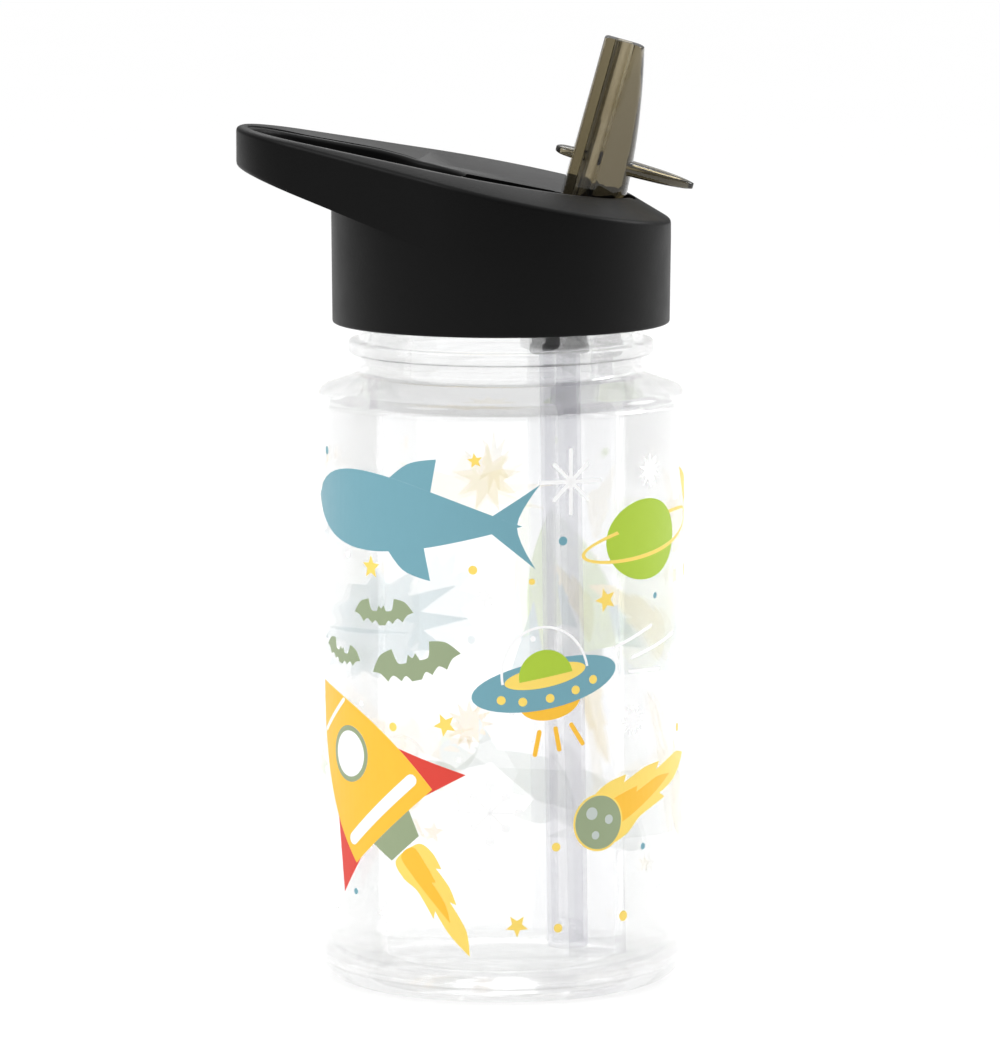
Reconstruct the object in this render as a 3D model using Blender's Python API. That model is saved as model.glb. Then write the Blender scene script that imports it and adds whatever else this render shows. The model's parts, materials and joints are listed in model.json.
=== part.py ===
"""Kids water bottle with a screw lid, a carrying loop and a flip-up mouthpiece.

Metres, +Z up, standing on z = 0. The origin lies below the middle of the overall footprint.
The carrying loop points to -X, the mouthpiece's thumb lever to +X, and Y = 0 is the mirror plane.
"""
import math

import bmesh
import bpy
from mathutils import Matrix, Vector

# --- Overall sizes
BODY_RADIUS = 0.0350
SHOULDER_HEIGHT = 0.1143

# --- Bottle body
BODY_WALL = 0.0020
BODY_CORNER = 0.0052
SHOULDER_RISE = 0.0020
SHOULDER_CORNER = 0.0020
SHOULDER_WIDTH = 0.0079
INNER_SHOULDER_DROP = 0.0012
STAND_RING_WIDTH = 0.0042
BASE_HOLLOW = 0.0018
FLOOR_HEIGHT = 0.0046
FLOOR_CORNER = 0.0040
NECK_WALL = 0.0020
NECK_HEIGHT = 0.0227
NECK_FOOT_RISE = 0.0031
NECK_FILLET = 0.0012
NECK_EDGE = 0.0003
BEAD_REACH = 0.0020
BEAD_RISE = 0.0062
BEAD_THICKNESS = 0.0025
BEAD_EDGE = 0.0004

# --- Screw thread shared by the neck and the inner cap
THREAD_PITCH = 0.0040
THREAD_TURNS = 1.5
THREAD_HEIGHT = 0.0013
THREAD_ROOT_WIDTH = 0.0016
THREAD_CREST_WIDTH = 0.0009
THREAD_CLEARANCE = 0.0004
THREAD_BITE = 0.0004
THREAD_BELOW_RIM = 0.0018

# --- Gaps between pieces
SEAT_GAP = 0.0003
RUNNING_CLEARANCE = 0.0003
SPOUT_SIDE_CLEARANCE = 0.0008
HUB_FLOOR_CLEARANCE = 0.0006

# --- Inner cap and neck seal
SEAL_THICKNESS = 0.0015
CAP_PLATE = 0.0019
CAP_WALL = 0.0016
CAP_BELOW_THREAD = 0.0020
CAP_EDGE = 0.0002
CAP_EDGE_HEIGHT = 0.0006

# --- Lid shell, round its skirt
SHELL_WALL = 0.0017
SHELL_FLOOR = 0.0016
SKIRT_DRAFT = 0.0002
SKIRT_EDGE = 0.0005
SKIRT_BELOW_CAP = 0.0009

# --- Lid shell, its sloping top: each size is taken from the skirt's radius or the ceiling
LID_RISE = 0.0136
LOOP_DEPTH = 0.0174
LOOP_TIP_INSET = 0.0130
LOOP_CENTRE_INSET = 0.0014
LOOP_UNDERSIDE_SLOPE = 0.370
RIDGE_INSET = 0.0041
RIDGE_TIP_INSET = 0.0012
RIDGE_X = -0.0033
RIDGE_SLOPE = 0.1835
CHAMFER_DROP_AT_LOOP = 0.0007
CHAMFER_DROP_AT_LEVER = 0.0031
CHAMFER_FULL_SHARE = 0.6
DISH_INSET = 0.0144
DISH_TIP_INSET = 0.0089
DISH_DEPTH = 0.0021
DISH_DEPTH_AT_LOOP = 0.0014

# --- Finger hole in the carrying loop
HOLE_TIP_INSET = 0.0072
HOLE_TIP_SHIFT = 0.0041
HOLE_INNER_INSET = 0.0164
HOLE_CENTRE_INSET = 0.0104
SCOOP_LIP = 0.0008

# --- Pocket for the mouthpiece
PIVOT_INSET = 0.0180
POCKET_FRONT_ROOM = 0.0020
POCKET_BACK_ROOM = 0.0029
POCKET_CORNER = 0.0035

# --- Mouthpiece, in its own frame: s along the bore from the pivot, t across towards the lever
SPOUT_LEAN = math.radians(15.7)
SPOUT_FOLD = math.radians(85.0)
SPOUT_LENGTH = 0.0338
SPOUT_FRONT_STEP = 0.0001
SPOUT_BACK_TOP = 0.0040
SPOUT_BACK_BASE = 0.0083
SPOUT_BACK_BULGE = 0.0007
SPOUT_BACK_FOOT = 0.0057
SPOUT_HALF_WIDTH_TOP = 0.0040
SPOUT_HALF_WIDTH_BASE = 0.0050
SPOUT_EDGE = 0.0004
SPOUT_ROUNDING_BASE = 0.0020
SPOUT_ROUNDING_TOP = 0.0013
HUB_RADIUS = 0.0038
HUB_EDGE = 0.0003
BORE_RADIUS = 0.0019
TRUNNION_RADIUS = 0.0018
TRUNNION_BITE = 0.0022

# --- Thumb lever and front fin of the mouthpiece
LEVER_ROOT = 0.0020
LEVER_TIP = 0.0200
LEVER_MIDDLE = 0.0107
LEVER_THICKNESS = 0.0031
LEVER_TIP_THICKNESS = 0.0021
LEVER_WIDTH_SHARE = 0.92
LEVER_STRAIGHT_SHARE = 0.45
FIN_ROOT = 0.0028
FIN_TIP = 0.0071
FIN_HALF_WIDTH = 0.0032
FIN_THICKNESS = 0.0021
FIN_TIP_THICKNESS = 0.0016
FIN_STRAIGHT_SHARE = 0.40
TONGUE_FLAT_SHARE = 0.85
TONGUE_SIDE_SHARE = 0.55
TONGUE_TIP_WIDTH_FALL = 0.97
TONGUE_TIP_HEIGHT_FALL = 0.90

# --- Straw, its socket and the cap's spigot
STRAW_SHIFT = 0.0035
STRAW_LEAN = math.radians(0.85)
STRAW_RADIUS = 0.0039
STRAW_WALL = 0.0008
STRAW_FLOOR_GAP = 0.0007
SPIGOT_LENGTH = 0.0081
SPIGOT_RADIUS = 0.0030
SPIGOT_BORE = 0.0018
SOCKET_DROP = 0.0026
SOCKET_LENGTH = 0.0162
SOCKET_WALL = 0.0011
SOCKET_EDGE = 0.0005
FLANGE_REACH = 0.00045
FLANGE_THICKNESS = 0.0017

# --- Seal under the mouthpiece
SADDLE_SHIFT = 0.0022
SADDLE_RADIUS = 0.0044
SADDLE_RISE = 0.0018
PASSAGE_RADIUS = 0.0015
PASSAGE_OVERRUN = 0.0020

# --- Vent valve
VALVE_X = -0.0140
VALVE_STEM_RADIUS = 0.0020
VALVE_DISC_RADIUS = 0.0042
VALVE_DISC_THICKNESS = 0.0010
VALVE_SKIRT = 0.0016
VALVE_SLOT_RADIUS = 0.0006

# --- Fineness of the round pieces
BODY_STEPS = 56
THREAD_STEPS = 40
SMALL_STEPS = 24
HOLLOW_STEPS = 4
RAMP_STEPS = 8
BARREL_STEPS = 8
TONGUE_STEPS = 10

# --- Radii that follow from the ones above
STAND_RING_INNER = BODY_RADIUS - BODY_CORNER - STAND_RING_WIDTH
NECK_RADIUS = BODY_RADIUS - SHOULDER_WIDTH
BEAD_RADIUS = NECK_RADIUS + BEAD_REACH
CAP_INNER = NECK_RADIUS + THREAD_HEIGHT + THREAD_CLEARANCE
CAP_OUTER = CAP_INNER + CAP_WALL
SHELL_RADIUS = CAP_OUTER + SEAT_GAP
SKIRT_RADIUS = SHELL_RADIUS + SHELL_WALL
LOOP_TIP_RADIUS = SKIRT_RADIUS - LOOP_TIP_INSET
LOOP_TIP_X = LOOP_CENTRE_INSET - SKIRT_RADIUS
LOOP_REACH = LOOP_TIP_RADIUS - LOOP_TIP_X
RIDGE_RADIUS = SKIRT_RADIUS - RIDGE_INSET
RIDGE_TIP_RADIUS = LOOP_TIP_RADIUS - RIDGE_TIP_INSET
DISH_RADIUS = SKIRT_RADIUS - DISH_INSET
DISH_TIP_RADIUS = LOOP_TIP_RADIUS - DISH_TIP_INSET
HOLE_TIP_RADIUS = LOOP_TIP_RADIUS - HOLE_TIP_INSET
HOLE_TIP_X = LOOP_TIP_X - HOLE_TIP_SHIFT
HOLE_INNER_RADIUS = SKIRT_RADIUS - HOLE_INNER_INSET
HOLE_INNER_X = HOLE_CENTRE_INSET - SKIRT_RADIUS
SOCKET_OUTER = STRAW_RADIUS + RUNNING_CLEARANCE + SOCKET_WALL
FLANGE_RADIUS = SOCKET_OUTER + FLANGE_REACH

# --- Places along X that follow from the ones above
PIVOT_X = SKIRT_RADIUS - PIVOT_INSET
SPOUT_FRONT = HUB_RADIUS + SPOUT_FRONT_STEP
POCKET_LEFT = PIVOT_X - HUB_RADIUS - POCKET_FRONT_ROOM
POCKET_RIGHT = PIVOT_X + SPOUT_BACK_BASE + POCKET_BACK_ROOM
POCKET_HALF_WIDTH = SPOUT_HALF_WIDTH_BASE + SPOUT_SIDE_CLEARANCE
TRUNNION_REACH = POCKET_HALF_WIDTH + TRUNNION_BITE
STRAW_TOP_X = PIVOT_X - STRAW_SHIFT
SADDLE_X = PIVOT_X - SADDLE_SHIFT
LEVER_REACH = PIVOT_X + LEVER_TIP * math.cos(SPOUT_LEAN) + LEVER_MIDDLE * math.sin(SPOUT_LEAN)
AXIS_X = (LOOP_REACH - LEVER_REACH) / 2

# --- Heights that follow from the ones above
NECK_FOOT = SHOULDER_HEIGHT + NECK_FOOT_RISE
NECK_TOP = SHOULDER_HEIGHT + NECK_HEIGHT
BEAD_LOW = SHOULDER_HEIGHT + BEAD_RISE
BEAD_HIGH = BEAD_LOW + BEAD_THICKNESS
THREAD_START = NECK_TOP - THREAD_BELOW_RIM - THREAD_TURNS * THREAD_PITCH
CAP_BOTTOM = THREAD_START - CAP_BELOW_THREAD
SKIRT_BOTTOM = CAP_BOTTOM - SKIRT_BELOW_CAP
SEAL_LOW = NECK_TOP + SEAT_GAP
SEAL_HIGH = SEAL_LOW + SEAL_THICKNESS
PLATE_LOW = SEAL_HIGH + SEAT_GAP
PLATE_HIGH = PLATE_LOW + CAP_PLATE
SHELL_CEILING = PLATE_HIGH + SEAT_GAP
POCKET_FLOOR = SHELL_CEILING + SHELL_FLOOR
PIVOT_HEIGHT = POCKET_FLOOR + HUB_FLOOR_CLEARANCE + HUB_RADIUS
SADDLE_TOP = POCKET_FLOOR + SADDLE_RISE
RIDGE_HEIGHT = SHELL_CEILING + LID_RISE
LOOP_UNDERSIDE_HEIGHT = RIDGE_HEIGHT - LOOP_DEPTH
SPIGOT_BOTTOM = PLATE_LOW - SPIGOT_LENGTH
SOCKET_TOP = PLATE_LOW - SOCKET_DROP
SOCKET_BOTTOM = SOCKET_TOP - SOCKET_LENGTH
SOCKET_STEP = SPIGOT_BOTTOM - SOCKET_EDGE
STRAW_TOP = SOCKET_STEP - SOCKET_EDGE
STRAW_BOTTOM = FLOOR_HEIGHT + STRAW_FLOOR_GAP
ABOVE_LID = RIDGE_HEIGHT + RIDGE_SLOPE * LOOP_REACH + LID_RISE
BELOW_LID = SHOULDER_HEIGHT


def clear_scene():
    for old in list(bpy.data.objects):
        bpy.data.objects.remove(old, do_unlink=True)


def make_material(name, colour, roughness, alpha=1.0, transmission=0.0):
    finish = bpy.data.materials.new(name)
    finish.use_nodes = True
    shader = finish.node_tree.nodes["Principled BSDF"]
    shader.inputs["Base Color"].default_value = (*colour, 1.0)
    shader.inputs["Roughness"].default_value = roughness
    shader.inputs["Metallic"].default_value = 0.0
    shader.inputs["Alpha"].default_value = alpha
    shader.inputs["Transmission Weight"].default_value = transmission
    return finish


def add_object(name, bm, parent, finish=None):
    """Turn the mesh into a named object with outward normals, shaded smooth across soft edges."""
    bmesh.ops.recalc_face_normals(bm, faces=bm.faces)
    mesh = bpy.data.meshes.new(name)
    bm.to_mesh(mesh)
    bm.free()
    mesh.shade_smooth()
    mesh.set_sharp_from_angle(angle=math.radians(35.0))
    piece = bpy.data.objects.new(name, mesh)
    bpy.context.scene.collection.objects.link(piece)
    piece.parent = parent
    if finish:
        mesh.materials.append(finish)
    return piece


def add_helper(name, bm, parent):
    """An object that only cuts or joins, and isn't part of the bottle."""
    helper = add_object(name, bm, parent)
    helper.hide_render = True
    helper.display_type = "WIRE"
    return helper


def combine(piece, helper, operation):
    step = piece.modifiers.new(helper.name, "BOOLEAN")
    step.operation = operation
    step.object = helper
    step.solver = "EXACT"


def arc(centre_r, centre_z, radius, start, end, steps):
    """Points on an arc in the (r, z) plane, angles in degrees."""
    points = []
    for i in range(steps + 1):
        angle = math.radians(start + (end - start) * i / steps)
        points.append((centre_r + radius * math.cos(angle), centre_z + radius * math.sin(angle)))
    return points


def turned(profile, steps):
    """Closed solid of revolution about Z from a closed (r, z) outline."""
    bm = bmesh.new()
    rings = []
    for r, z in profile:
        if r < 1e-6:
            rings.append([bm.verts.new((0.0, 0.0, z))])
            continue
        turns = [2 * math.pi * i / steps for i in range(steps)]
        rings.append([bm.verts.new((r * math.cos(a), r * math.sin(a), z)) for a in turns])
    for ring, following in zip(rings, rings[1:] + rings[:1]):
        join_rings(bm, ring, following)
    return bm


def join_rings(bm, ring, following):
    """Faces between two closed rings, either of which may be a single point."""
    if len(ring) == 1 and len(following) == 1:
        return
    count = max(len(ring), len(following))
    for i in range(count):
        j = (i + 1) % count
        if len(ring) == 1:
            bm.faces.new((ring[0], following[j], following[i]))
        elif len(following) == 1:
            bm.faces.new((ring[i], ring[j], following[0]))
        else:
            bm.faces.new((ring[i], ring[j], following[j], following[i]))


def lofted(rings):
    """Closed solid through rings of equally many points, with a flat cap on each end."""
    bm = bmesh.new()
    loops = [[bm.verts.new(point) for point in ring] for ring in rings]
    for ring, following in zip(loops, loops[1:]):
        join_rings(bm, ring, following)
    bm.faces.new(loops[0])
    bm.faces.new(list(reversed(loops[-1])))
    return bm


def prism(outline, low, high):
    return lofted([[(x, y, z) for x, y in outline] for z in (low, high)])


def rod(radius, low, high, steps=SMALL_STEPS):
    return turned([(0.0, low), (radius, low), (radius, high), (0.0, high)], steps)


def two_circle_outline(right_x, right_radius, left_x, left_radius, right_steps=44, left_steps=24):
    """Plan outline, counter-clockwise, round two circles on the X axis joined by their tangents."""
    lean = math.acos((right_radius - left_radius) / (right_x - left_x))
    half = math.pi - lean
    points = []
    for i in range(right_steps + 1):
        angle = -half + 2 * half * i / right_steps
        points.append((right_x + right_radius * math.cos(angle), right_radius * math.sin(angle)))
    for i in range(left_steps + 1):
        angle = half + 2 * lean * i / left_steps
        points.append((left_x + left_radius * math.cos(angle), left_radius * math.sin(angle)))
    return points


def circle_like_outline(radius, right_steps=44, left_steps=24):
    """A circle about the axis with its points in step with the lid's two_circle_outline."""
    lean = math.acos((SKIRT_RADIUS - LOOP_TIP_RADIUS) / -LOOP_TIP_X)
    half = math.pi - lean
    angles = [-half + 2 * half * i / right_steps for i in range(right_steps + 1)]
    angles += [half + 2 * lean * (i + 0.5) / (left_steps + 1) for i in range(left_steps + 1)]
    return [(radius * math.cos(a), radius * math.sin(a)) for a in angles]


def rounded_rectangle(left, right, half_width, corner, steps=5):
    points = []
    for cx, cy, start in (
        (right - corner, half_width - corner, 0.0),
        (left + corner, half_width - corner, 90.0),
        (left + corner, corner - half_width, 180.0),
        (right - corner, corner - half_width, 270.0),
    ):
        points += arc(cx, cy, corner, start, start + 90.0, steps)
    return points


def helix_ridge(radius, height, start, begin_turn, end_turn):
    """A thread ridge from radius outwards (or inwards where height is negative), with faded ends."""
    bm = bmesh.new()
    steps = round((end_turn - begin_turn) * THREAD_STEPS)
    foot = math.copysign(THREAD_BITE, height)
    loops = []
    for i in range(steps + 1):
        turn = begin_turn + (end_turn - begin_turn) * i / steps
        fade = min(1.0, 0.25 + 0.25 * min(i, steps - i))
        angle = 2 * math.pi * turn
        middle = start + THREAD_PITCH * turn
        ring = []
        for reach, half_width in (
            (-foot, -THREAD_ROOT_WIDTH / 2),
            (height * fade, -THREAD_CREST_WIDTH / 2),
            (height * fade, THREAD_CREST_WIDTH / 2),
            (-foot, THREAD_ROOT_WIDTH / 2),
        ):
            r = radius + reach
            ring.append(bm.verts.new((r * math.cos(angle), r * math.sin(angle), middle + half_width)))
        loops.append(ring)
    for ring, following in zip(loops, loops[1:]):
        join_rings(bm, ring, following)
    bm.faces.new(loops[0])
    bm.faces.new(list(reversed(loops[-1])))
    return bm


def body_profile():
    """Outline of the clear body, from the middle of its underside round the outside and back inside."""
    inner = BODY_RADIUS - BODY_WALL
    neck_bore = NECK_RADIUS - NECK_WALL
    outline = []
    for i in range(HOLLOW_STEPS + 1):
        share = i / HOLLOW_STEPS
        outline.append((STAND_RING_INNER * share, BASE_HOLLOW * (1 - share * share)))
    outline += arc(BODY_RADIUS - BODY_CORNER, BODY_CORNER, BODY_CORNER, -90, 0, 6)
    rim = SHOULDER_HEIGHT - SHOULDER_CORNER
    outline += arc(BODY_RADIUS - SHOULDER_CORNER, rim, SHOULDER_CORNER, 0, 75, 4)
    outline += [(NECK_RADIUS + NECK_FILLET, SHOULDER_HEIGHT + SHOULDER_RISE), (NECK_RADIUS, NECK_FOOT)]
    outline += [(NECK_RADIUS, BEAD_LOW), (BEAD_RADIUS, BEAD_LOW + BEAD_EDGE)]
    outline += [(BEAD_RADIUS, BEAD_HIGH - BEAD_EDGE), (NECK_RADIUS, BEAD_HIGH)]
    outline += [(NECK_RADIUS, NECK_TOP - NECK_EDGE), (NECK_RADIUS - NECK_EDGE, NECK_TOP)]
    outline += [(neck_bore, NECK_TOP), (neck_bore, NECK_FOOT - INNER_SHOULDER_DROP)]
    outline += arc(inner - SHOULDER_CORNER, rim - BODY_WALL, SHOULDER_CORNER, 75, 0, 3)
    outline += arc(inner - FLOOR_CORNER, FLOOR_HEIGHT + FLOOR_CORNER, FLOOR_CORNER, 0, -90, 5)
    outline += [(0.0, FLOOR_HEIGHT)]
    return outline


def make_bottle_body(axis):
    clear = make_material("clear_plastic", (0.93, 0.95, 0.95), 0.05, alpha=0.3, transmission=1.0)
    body = add_object("bottle_body", turned(body_profile(), BODY_STEPS), axis, clear)
    thread = helix_ridge(NECK_RADIUS, THREAD_HEIGHT, THREAD_START, 0.0, THREAD_TURNS)
    combine(body, add_helper("neck_thread", thread, axis), "UNION")


def underside_height(x):
    return LOOP_UNDERSIDE_HEIGHT - LOOP_UNDERSIDE_SLOPE * x


def ridge_height(x):
    return RIDGE_HEIGHT - RIDGE_SLOPE * x


def rim_height(x):
    """The rim lies below the ridge's plane by a drop that grows smoothly from the loop to the lever."""
    share = min(1.0, max(0.0, (x + LOOP_REACH) / (LOOP_REACH + SKIRT_RADIUS * CHAMFER_FULL_SHARE)))
    ease = share * share * (3 - 2 * share)
    return ridge_height(x) - CHAMFER_DROP_AT_LOOP - (CHAMFER_DROP_AT_LEVER - CHAMFER_DROP_AT_LOOP) * ease


def dish_height(x):
    slope = RIDGE_SLOPE + (DISH_DEPTH - DISH_DEPTH_AT_LOOP) / LOOP_REACH
    return RIDGE_HEIGHT - DISH_DEPTH - slope * x


def lid_shell_rings():
    """Rings from the hollow's ceiling down to the skirt's edge, then up the outside to the dish."""
    hollow = circle_like_outline(SHELL_RADIUS)
    edge = circle_like_outline(SKIRT_RADIUS - SKIRT_DRAFT - SKIRT_EDGE)
    foot = circle_like_outline(SKIRT_RADIUS - SKIRT_DRAFT)
    wall = circle_like_outline(SKIRT_RADIUS)
    outside = two_circle_outline(0.0, SKIRT_RADIUS, LOOP_TIP_X, LOOP_TIP_RADIUS)
    ridge = two_circle_outline(RIDGE_X, RIDGE_RADIUS, LOOP_TIP_X, RIDGE_TIP_RADIUS)
    dish = two_circle_outline(RIDGE_X, DISH_RADIUS, LOOP_TIP_X, DISH_TIP_RADIUS)
    tangent_x = -SKIRT_RADIUS * (SKIRT_RADIUS - LOOP_TIP_RADIUS) / -LOOP_TIP_X
    return [
        [(x, y, SHELL_CEILING) for x, y in hollow],
        [(x, y, SKIRT_BOTTOM) for x, y in hollow],
        [(x, y, SKIRT_BOTTOM) for x, y in edge],
        [(x, y, SKIRT_BOTTOM + SKIRT_EDGE) for x, y in foot],
        [(x, y, underside_height(min(x, tangent_x))) for x, y in wall],
        [(x, y, underside_height(min(x, tangent_x))) for x, y in outside],
        [(x, y, rim_height(x)) for x, y in outside],
        [(x, y, ridge_height(x)) for x, y in ridge],
        [(x, y, dish_height(x)) for x, y in dish],
    ]


def make_finger_hole(axis):
    """A hole through the loop whose floor ramps up over the lid from its left wall to the deck."""
    outline = two_circle_outline(HOLE_INNER_X, HOLE_INNER_RADIUS, HOLE_TIP_X, HOLE_TIP_RADIUS, 20, 20)
    hole = add_helper("finger_hole", prism(outline, BELOW_LID, ABOVE_LID), axis)
    right_end = HOLE_INNER_X + HOLE_INNER_RADIUS
    low = underside_height(-SKIRT_RADIUS) - SCOOP_LIP
    rise = dish_height(right_end) - low
    profile = [(-2 * LOOP_REACH, 0.0), (-2 * LOOP_REACH, low)]
    for i in range(RAMP_STEPS + 1):
        share = i / RAMP_STEPS
        x = -SKIRT_RADIUS + (right_end + SKIRT_RADIUS) * share
        profile.append((x, low + rise * (1 - math.cos(share * math.pi / 2))))
    profile += [(SKIRT_RADIUS, ABOVE_LID), (SKIRT_RADIUS, 0.0)]
    sides = (-SKIRT_RADIUS, SKIRT_RADIUS)
    ramp = lofted([[(x, y, z) for x, z in profile] for y in sides])
    combine(hole, add_helper("hole_ramp", ramp, axis), "DIFFERENCE")
    return hole


def folded_box(name, axis, s_range, t_range, half_width):
    """A box set by its reach along and across the folded mouthpiece."""
    corners = [(t_range[0], s_range[0]), (t_range[1], s_range[0])]
    corners += [(t_range[1], s_range[1]), (t_range[0], s_range[1])]
    box = lofted([[(t, y, s) for t, s in corners] for y in (-half_width, half_width)])
    bmesh.ops.transform(box, matrix=spout_frame(SPOUT_LEAN - SPOUT_FOLD), verts=box.verts)
    return add_helper(name, box, axis)


def make_lid_shell(axis):
    black = make_material("black_plastic", (0.012, 0.012, 0.013), 0.45)
    bm = lofted(lid_shell_rings())
    bmesh.ops.remove_doubles(bm, verts=bm.verts, dist=1e-6)
    lid = add_object("lid_shell", bm, axis, black)
    combine(lid, make_finger_hole(axis), "DIFFERENCE")
    pocket = rounded_rectangle(POCKET_LEFT, POCKET_RIGHT, POCKET_HALF_WIDTH, POCKET_CORNER)
    combine(lid, add_helper("spout_pocket", prism(pocket, POCKET_FLOOR, ABOVE_LID), axis), "DIFFERENCE")
    clearance = 2 * RUNNING_CLEARANCE
    above = 3 * SPOUT_BACK_BASE
    groove = folded_box(
        "spout_groove", axis, (0.0, SPOUT_LENGTH), (-SPOUT_FRONT - clearance, above),
        POCKET_HALF_WIDTH - RUNNING_CLEARANCE)
    combine(lid, groove, "DIFFERENCE")
    fin_reach = FIN_THICKNESS / 2 + clearance
    slot = folded_box(
        "fin_slot", axis, (0.0, LEVER_MIDDLE + fin_reach), (-FIN_TIP - clearance, above),
        FIN_HALF_WIDTH + clearance)
    combine(lid, slot, "DIFFERENCE")
    bearing = rod(TRUNNION_RADIUS + RUNNING_CLEARANCE, -TRUNNION_REACH - clearance, TRUNNION_REACH + clearance)
    lay_along_y(bearing)
    combine(lid, add_helper("trunnion_holes", bearing, axis), "DIFFERENCE")
    seat = rod(SADDLE_RADIUS + RUNNING_CLEARANCE, BELOW_LID, SADDLE_TOP + RUNNING_CLEARANCE)
    bmesh.ops.translate(seat, vec=(SADDLE_X, 0.0, 0.0), verts=seat.verts)
    combine(lid, add_helper("saddle_hole", seat, axis), "DIFFERENCE")


def spout_frame(lean):
    """Places the mouthpiece's own frame at its pivot, leaning from +Z towards +X."""
    return Matrix.Translation((PIVOT_X, 0.0, PIVOT_HEIGHT)) @ Matrix.Rotation(lean, 4, "Y")


def lay_along_y(bm):
    """Turn a rod about Z into one about the mouthpiece's pivot axis."""
    place = Matrix.Translation((PIVOT_X, 0.0, PIVOT_HEIGHT)) @ Matrix.Rotation(math.pi / 2, 4, "X")
    bmesh.ops.transform(bm, matrix=place, verts=bm.verts)


def spout_side_outline():
    """Side outline of the mouthpiece: (t, s), the direction it is drawn in at its sides, and how far."""
    outline = []
    for i in range(BARREL_STEPS + 1):
        share = i / BARREL_STEPS
        s = SPOUT_BACK_FOOT + (SPOUT_LENGTH - SPOUT_EDGE - SPOUT_BACK_FOOT) * share
        bulge = 4 * SPOUT_BACK_BULGE * share * (1 - share)
        t = SPOUT_BACK_BASE + (SPOUT_BACK_TOP - SPOUT_BACK_BASE) * share + bulge
        rounding = SPOUT_ROUNDING_BASE + (SPOUT_ROUNDING_TOP - SPOUT_ROUNDING_BASE) * share
        outline.append((t, s, Vector((-1, 0)), rounding))
    outline.append((SPOUT_BACK_TOP - SPOUT_EDGE, SPOUT_LENGTH, Vector((-1, 0)), SPOUT_ROUNDING_TOP))
    outline.append((-SPOUT_FRONT + SPOUT_EDGE, SPOUT_LENGTH, Vector((1, 0)), SPOUT_EDGE))
    outline.append((-SPOUT_FRONT, SPOUT_LENGTH - SPOUT_EDGE, Vector((1, 0)), SPOUT_EDGE))
    for i in range(BARREL_STEPS + 1):
        angle = math.radians(180.0 + 135.0 * i / BARREL_STEPS)
        towards = Vector((-math.cos(angle), -math.sin(angle)))
        t = HUB_RADIUS * math.cos(angle)
        s = HUB_RADIUS * math.sin(angle)
        outline.append((t, s, towards, HUB_EDGE))
    return outline


def spout_half_width(s):
    share = s / SPOUT_LENGTH
    return SPOUT_HALF_WIDTH_BASE + (SPOUT_HALF_WIDTH_TOP - SPOUT_HALF_WIDTH_BASE) * share


def spout_barrel():
    """The mouthpiece's barrel and hub, lofted from one side face to the other."""
    outline = spout_side_outline()
    rings = []
    for i in range(BARREL_STEPS + 1):
        angle = math.pi * (i / BARREL_STEPS - 0.5)
        share = math.sin(angle)
        draw_in = 1 - math.cos(angle)
        ring = []
        for t, s, towards, reach in outline:
            across = towards * reach * draw_in
            ring.append((t + across.x, spout_half_width(s) * share, s + across.y))
        rings.append(ring)
    return lofted(rings)


def tongue(root, tip, half_width, thickness, tip_thickness, straight):
    """A flat tongue from root to tip along t at the lever's height, with a rounded end."""
    rings = []
    flat, side = TONGUE_FLAT_SHARE, TONGUE_SIDE_SHARE
    upper = [(1, side), (flat, 1), (-flat, 1), (-1, side)]
    section = upper + [(-y, -z) for y, z in upper]
    for i in range(TONGUE_STEPS + 1):
        share = math.sin(math.pi / 2 * i / TONGUE_STEPS)
        past = max(0.0, (share - straight) / (1 - straight))
        width = half_width * math.sqrt(max(0.0, 1 - (TONGUE_TIP_WIDTH_FALL * past) ** 2))
        half = (thickness + (tip_thickness - thickness) * share) / 2
        half *= math.sqrt(max(0.0, 1 - (TONGUE_TIP_HEIGHT_FALL * past) ** 4))
        t = root + (tip - root) * share
        rings.append([(t, y * width, LEVER_MIDDLE + z * half) for y, z in section])
    return lofted(rings)


def make_spout(axis):
    smoky = make_material("smoky_plastic", (0.20, 0.17, 0.12), 0.06, alpha=0.6, transmission=0.9)
    spout = add_object("spout", spout_barrel(), axis, smoky)
    spout.matrix_local = spout_frame(SPOUT_LEAN)
    sides = LEVER_WIDTH_SHARE * spout_half_width(LEVER_MIDDLE)
    lever = tongue(LEVER_ROOT, LEVER_TIP, sides, LEVER_THICKNESS, LEVER_TIP_THICKNESS, LEVER_STRAIGHT_SHARE)
    combine(spout, add_helper("thumb_lever", lever, spout), "UNION")
    fin = tongue(-FIN_ROOT, -FIN_TIP, FIN_HALF_WIDTH, FIN_THICKNESS, FIN_TIP_THICKNESS, FIN_STRAIGHT_SHARE)
    combine(spout, add_helper("front_fin", fin, spout), "UNION")
    pins = rod(TRUNNION_RADIUS, -TRUNNION_REACH, TRUNNION_REACH)
    bmesh.ops.rotate(pins, cent=(0, 0, 0), matrix=Matrix.Rotation(math.pi / 2, 3, "X"), verts=pins.verts)
    combine(spout, add_helper("trunnions", pins, spout), "UNION")
    bore = rod(BORE_RADIUS, -2 * HUB_RADIUS, 2 * SPOUT_LENGTH)
    combine(spout, add_helper("spout_bore", bore, spout), "DIFFERENCE")


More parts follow.
